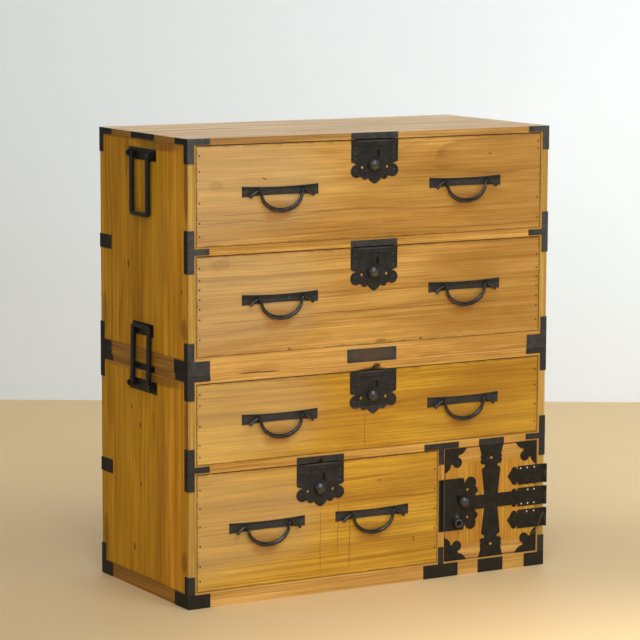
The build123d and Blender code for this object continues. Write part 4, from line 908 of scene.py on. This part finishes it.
# %% Nail the drawers
PLATE_EDGE, BACK_PLATE_END, EYE_NAIL, PEG_INSET = 51, 90, 22, 8
peg_heights = {1: ((1020, 985, 915, 870, 840), (1022, 1005, 890, 842)),
               2: ((770, 743, 722, 700, 678, 655, 610), (755, 722, 702, 680, 655, 632, 598)),
               3: ((487, 462, 415, 372, 345), (478, 440, 395, 352)),
               4: ((270, 228, 186, 142, 96, 62), (262, 215, 168, 121, 74))}
for n, (apart, height) in handles.items():
    low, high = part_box(f"drawer_{n}_front")
    middle, top = (low.x + high.x) * 500, high.z * 1000
    points = [(middle + side * PLATE_EDGE, top - down) for side in (-1, 1) for down in (17, 30, 43, 69)]
    for side in (-1, 1):
        points += [(middle + side * apart + end * BACK_PLATE_END, height - 1.5) for end in (-1, 1)]
        points += [(middle + side * apart + end * EYE_NAIL, height) for end in (-1, 1)]
    driven(nail_pattern, f"drawer_{n}_nails", knob_steel, f"drawer_{n}", on_front(points))
    left_end, right_end = low.x * 1000 + PEG_INSET, high.x * 1000 - PEG_INSET
    pegs = [(x, z) for x, heights in zip((left_end, right_end), peg_heights[n]) for z in heights]
    driven(peg_pattern, f"drawer_{n}_pegs", bar_iron, f"drawer_{n}", on_front(pegs, 0))

# %% Nail the two cases
def case_nails(z0, z1, tee):
    """Nails of one case's corner, tee and strap irons: (front points, side points)."""
    top_row, post, rear = z1 - 6.8, 472, 212
    feet, tee_drops = (9, 25), (-40, -20, 20, 40)
    post_heights = [z1 - 28, z1 - 48] + [z0 + 9, z0 + 40, z0 + 60]
    front, side = [], []
    for s in (-1, 1):
        front += [(s * x, top_row) for x in (433, 452, post)] + [(s * post, z) for z in post_heights]
        front += [(s * post, tee + d) for d in tee_drops] + [(s * x, tee) for x in (434, 455, post)]
        front += [(s * x, z0 + h) for x in (434, 455) for h in feet]
        side += [(s * y, top_row) for y in (168, 190, rear)] + [(s * rear, z) for z in post_heights]
        side += [(s * y, z0 + h) for y in (164, 186) for h in feet]
    side += [(-rear, tee + d) for d in tee_drops] + [(y, z0 + 264 + d) for y in (175, 205) for d in (-8, 8)]
    side += [(y, top_row) for y in (-48, 0, 48)]
    return front, side


keeper_nails = [(x, z) for z in (1050.5, 804.5) for x in (-52, -20, 20, 52)]
bar_nails = [(x, z) for x in (-62, -4, 54) for z in (538, 556)]
front, side = case_nails(530, 1058, 806.5)
driven(nail_pattern, "upper_case_nails", sheet_iron, "upper_case",
       on_front(front + keeper_nails + bar_nails) + on_sides(side))
front, side = case_nails(0, 530, 316.5)
front += [(x, 314.5) for x in (148, 168, 189, 210, 230, 297, 329, 361)]
front += [(189, z) for z in (275, 292, 45, 65)] + [(x, z) for x in (148, 230, 300, 358) for z in (9, 25)]
front += [(x, 316) for x in (-193, -165, -117, -89)]
driven(nail_pattern, "lower_case_nails", sheet_iron, "lower_case",
       on_front(front) + on_sides(side))

# %% Nail the door
def round_the_cross(offsets):
    """Points mirrored into the four quarters of the door."""
    middle_x, middle_z = DOOR_X * 1000, DOOR_Z * 1000
    return [(middle_x + s * x, middle_z + t * z) for s in (-1, 1) for t in (-1, 1) for x, z in offsets]


bright_nails = [(413, 241.5), (432, 241.5), (452, 241.5), (434, 188), (452, 188), (416, 155), (434, 155),
                (452, 155), (432, 135), (452, 135)]
dull_nails = [(416, 188), (413, 202), (432, 202), (452, 202), (413, 135), (416, 101), (434, 101)]
cross_nails = round_the_cross([(26, 128), (20, 108), (24, 96), (14, 72), (15, 45), (0, 126)])
corner_nails = round_the_cross([(124, 128), (124, 98), (98, 128), (98, 102)])
plate_nails = [(212, z) for z in (118, 135, 207, 224)] + [(225, z) for z in (116, 226)]
plate_nails += [(271, 123), (271, 219), (282, 143), (282, 200)]
driven(nail_pattern, "door_nails", door_iron, "door",
       on_front(dull_nails + cross_nails + corner_nails + plate_nails))
driven(nail_pattern, "door_bright_nails", nail_steel, "door", on_front(bright_nails))
for pattern in (nail_pattern, peg_pattern):
    bpy.data.objects.remove(pattern)
print("nails and pegs driven")

# %% [markdown]
# ## A twist of wire
# Someone has pushed a piece of stiff wire into the lowest hinge. It is drawn out of a small ring like the
# bails, with one station at each place where the wire changes its course, and it swings with the door.

# %% Bend the wire
WIRE_RADIUS, WIRE_SIDES, WIRE_START, FIRST_SLOPE = 0.0007, 6, (0.4785, 0.1310), -133
wire_stations = [(0.4735, 0.1255, -125), (0.4672, 0.1140, -108), (0.4632, 0.1000, -106),
                 (0.4600, 0.0925, -130), (0.4430, 0.0800, -140)]  # x, z, and the slope in degrees
knuckle_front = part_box("door_hinge_straps")[0].y
y_in_knuckle, y_outside = knuckle_front + 0.0022, knuckle_front - 0.0006
spot, heading = Vector((WIRE_START[0], y_in_knuckle, WIRE_START[1])), FIRST_SLOPE
wire = start_ring(WIRE_RADIUS, WIRE_SIDES, spot, (0, math.radians(90 - heading), 0))
bpy.ops.mesh.edge_face_add()
for x, z, angle in wire_stations:
    centre = Vector((x, y_outside, z))
    draw_out(centre - spot, math.radians(angle - heading), centre, 1)
    spot, heading = centre, angle
leave_anvil()
bake_place(wire)
hand_over(wire, "hinge_wire", wire_iron, "door")
print("wire:", len(wire.data.polygons), "faces")

# %% [markdown]
# ## The studio
# A plain pale floor meets a pale wall a couple of metres behind the chest. The wall is a backdrop: its back
# is clear, so a camera that walks round behind it still sees the chest. A broad key light stands to the
# left, like a tall window, a weaker one in front gives the irons their sheen, and the rest fill the room:
# one from the left, one overhead, two that wash the wall and one that pools on the floor in front.

# %% Floor and wall
tree, take, give = new_group(
    "paint_cloud", {"Light": (1, 1, 1, 1), "Dark": (0.94, 0.94, 0.94, 1)}, "Color")
paint_cloud = tree
send(tree, give, Color=blend(tree, speckle(tree, take["Vector"], 1.4, 2.0), take["Light"], take["Dark"]))


def stage_paint(title, colour, rough):
    """A plain matt paint with a little unevenness, its tree and its shader."""
    material, tree, shader, spot = new_finish(title)
    tones = {"Vector": spot, "Light": (*colour, 1), "Dark": (*[c * 0.94 for c in colour], 1)}
    tree.links.new(use(tree, paint_cloud, tones)[0], shader.inputs["Base Color"])
    shader.inputs["Roughness"].default_value = rough
    return material, tree, shader


FLOOR_SIZE, WALL_SIZE, WALL_AWAY = 40, 12, 2.43
bpy.ops.object.select_all(action="DESELECT")
bpy.ops.mesh.primitive_plane_add(size=FLOOR_SIZE)
floor = bpy.context.object
floor.name = "floor"
floor.data.materials.append(stage_paint("floor_paint", (0.85, 0.62, 0.32), 0.6)[0])

wall_foot = Vector((math.sin(turn), math.cos(turn), 0)) * WALL_AWAY
bpy.ops.mesh.primitive_plane_add(size=WALL_SIZE, location=wall_foot + Vector((0, 0, WALL_SIZE / 2)),
                                 rotation=(math.radians(90), 0, -turn))
wall = bpy.context.object
wall.name = "backdrop"
wall_paint, tree, shader = stage_paint("wall_paint", (0.89, 0.955, 1.0), 0.8)
behind = add(tree, "NewGeometry").outputs["Backfacing"]
clear = add(tree, "BsdfTransparent").outputs[0]
either = add(tree, "MixShader", {0: behind, 1: shader.outputs[0], 2: clear})
tree.links.new(either.outputs[0], tree.nodes["Material Output"].inputs["Surface"])
wall.data.materials.append(wall_paint)
print("wall stands", WALL_AWAY, "m from the middle of the chest")

# %% Lights
def soft_light(title, place, target, size, power, colour=(1.0, 1.0, 1.0), spread=180):
    """A soft box that points at a target."""
    bpy.ops.object.light_add(type="AREA", location=place)
    lamp = bpy.context.object
    lamp.name = title
    lamp.data.shape = "RECTANGLE"
    lamp.data.size, lamp.data.size_y = size
    lamp.data.energy = power
    lamp.data.color = colour
    lamp.data.spread = math.radians(spread)
    lamp.rotation_euler = (Vector(target) - Vector(place)).to_track_quat("-Z", "Y").to_euler()


COOL, AIR, AIR_LIGHT = (0.93, 0.97, 1.0), (0.92, 0.95, 1.0, 1), 0.2
soft_light("key_window", (-1.7, -2.9, 2.3), (0, -0.2, 0.5), (1.4, 1.4), 26)
soft_light("sheen_window", (0.7, -3.3, 1.35), (-0.2, -0.2, 0.6), (1.1, 1.2), 9)
soft_light("left_fill", (-4.2, -1.4, 2.2), (-0.4, 0, 0.5), (2.4, 2.0), 10)
soft_light("wall_wash", (1.83, -0.83, 1.4), (1.75, 1.8, 0.8), (1.4, 1.2), 18, COOL, 120)
soft_light("wall_fill", (-0.9, 0.5, 2.8), (0.4, 2.6, 0.6), (1.2, 1.2), 8, COOL, 120)
soft_light("floor_wash", (0.1, -1.8, 2.6), (0.1, -1.7, 0), (1.2, 0.8), 12, spread=64)
soft_light("ceiling", (-0.3, -2.3, 3.9), (0.0, -1.5, 0), (3.0, 3.0), 56)
world = bpy.data.worlds.new("studio_air")
world.use_nodes = True
world.node_tree.nodes["Background"].inputs["Color"].default_value = AIR
world.node_tree.nodes["Background"].inputs["Strength"].default_value = AIR_LIGHT
bpy.context.scene.world = world
bpy.context.scene.view_settings.view_transform = "Standard"
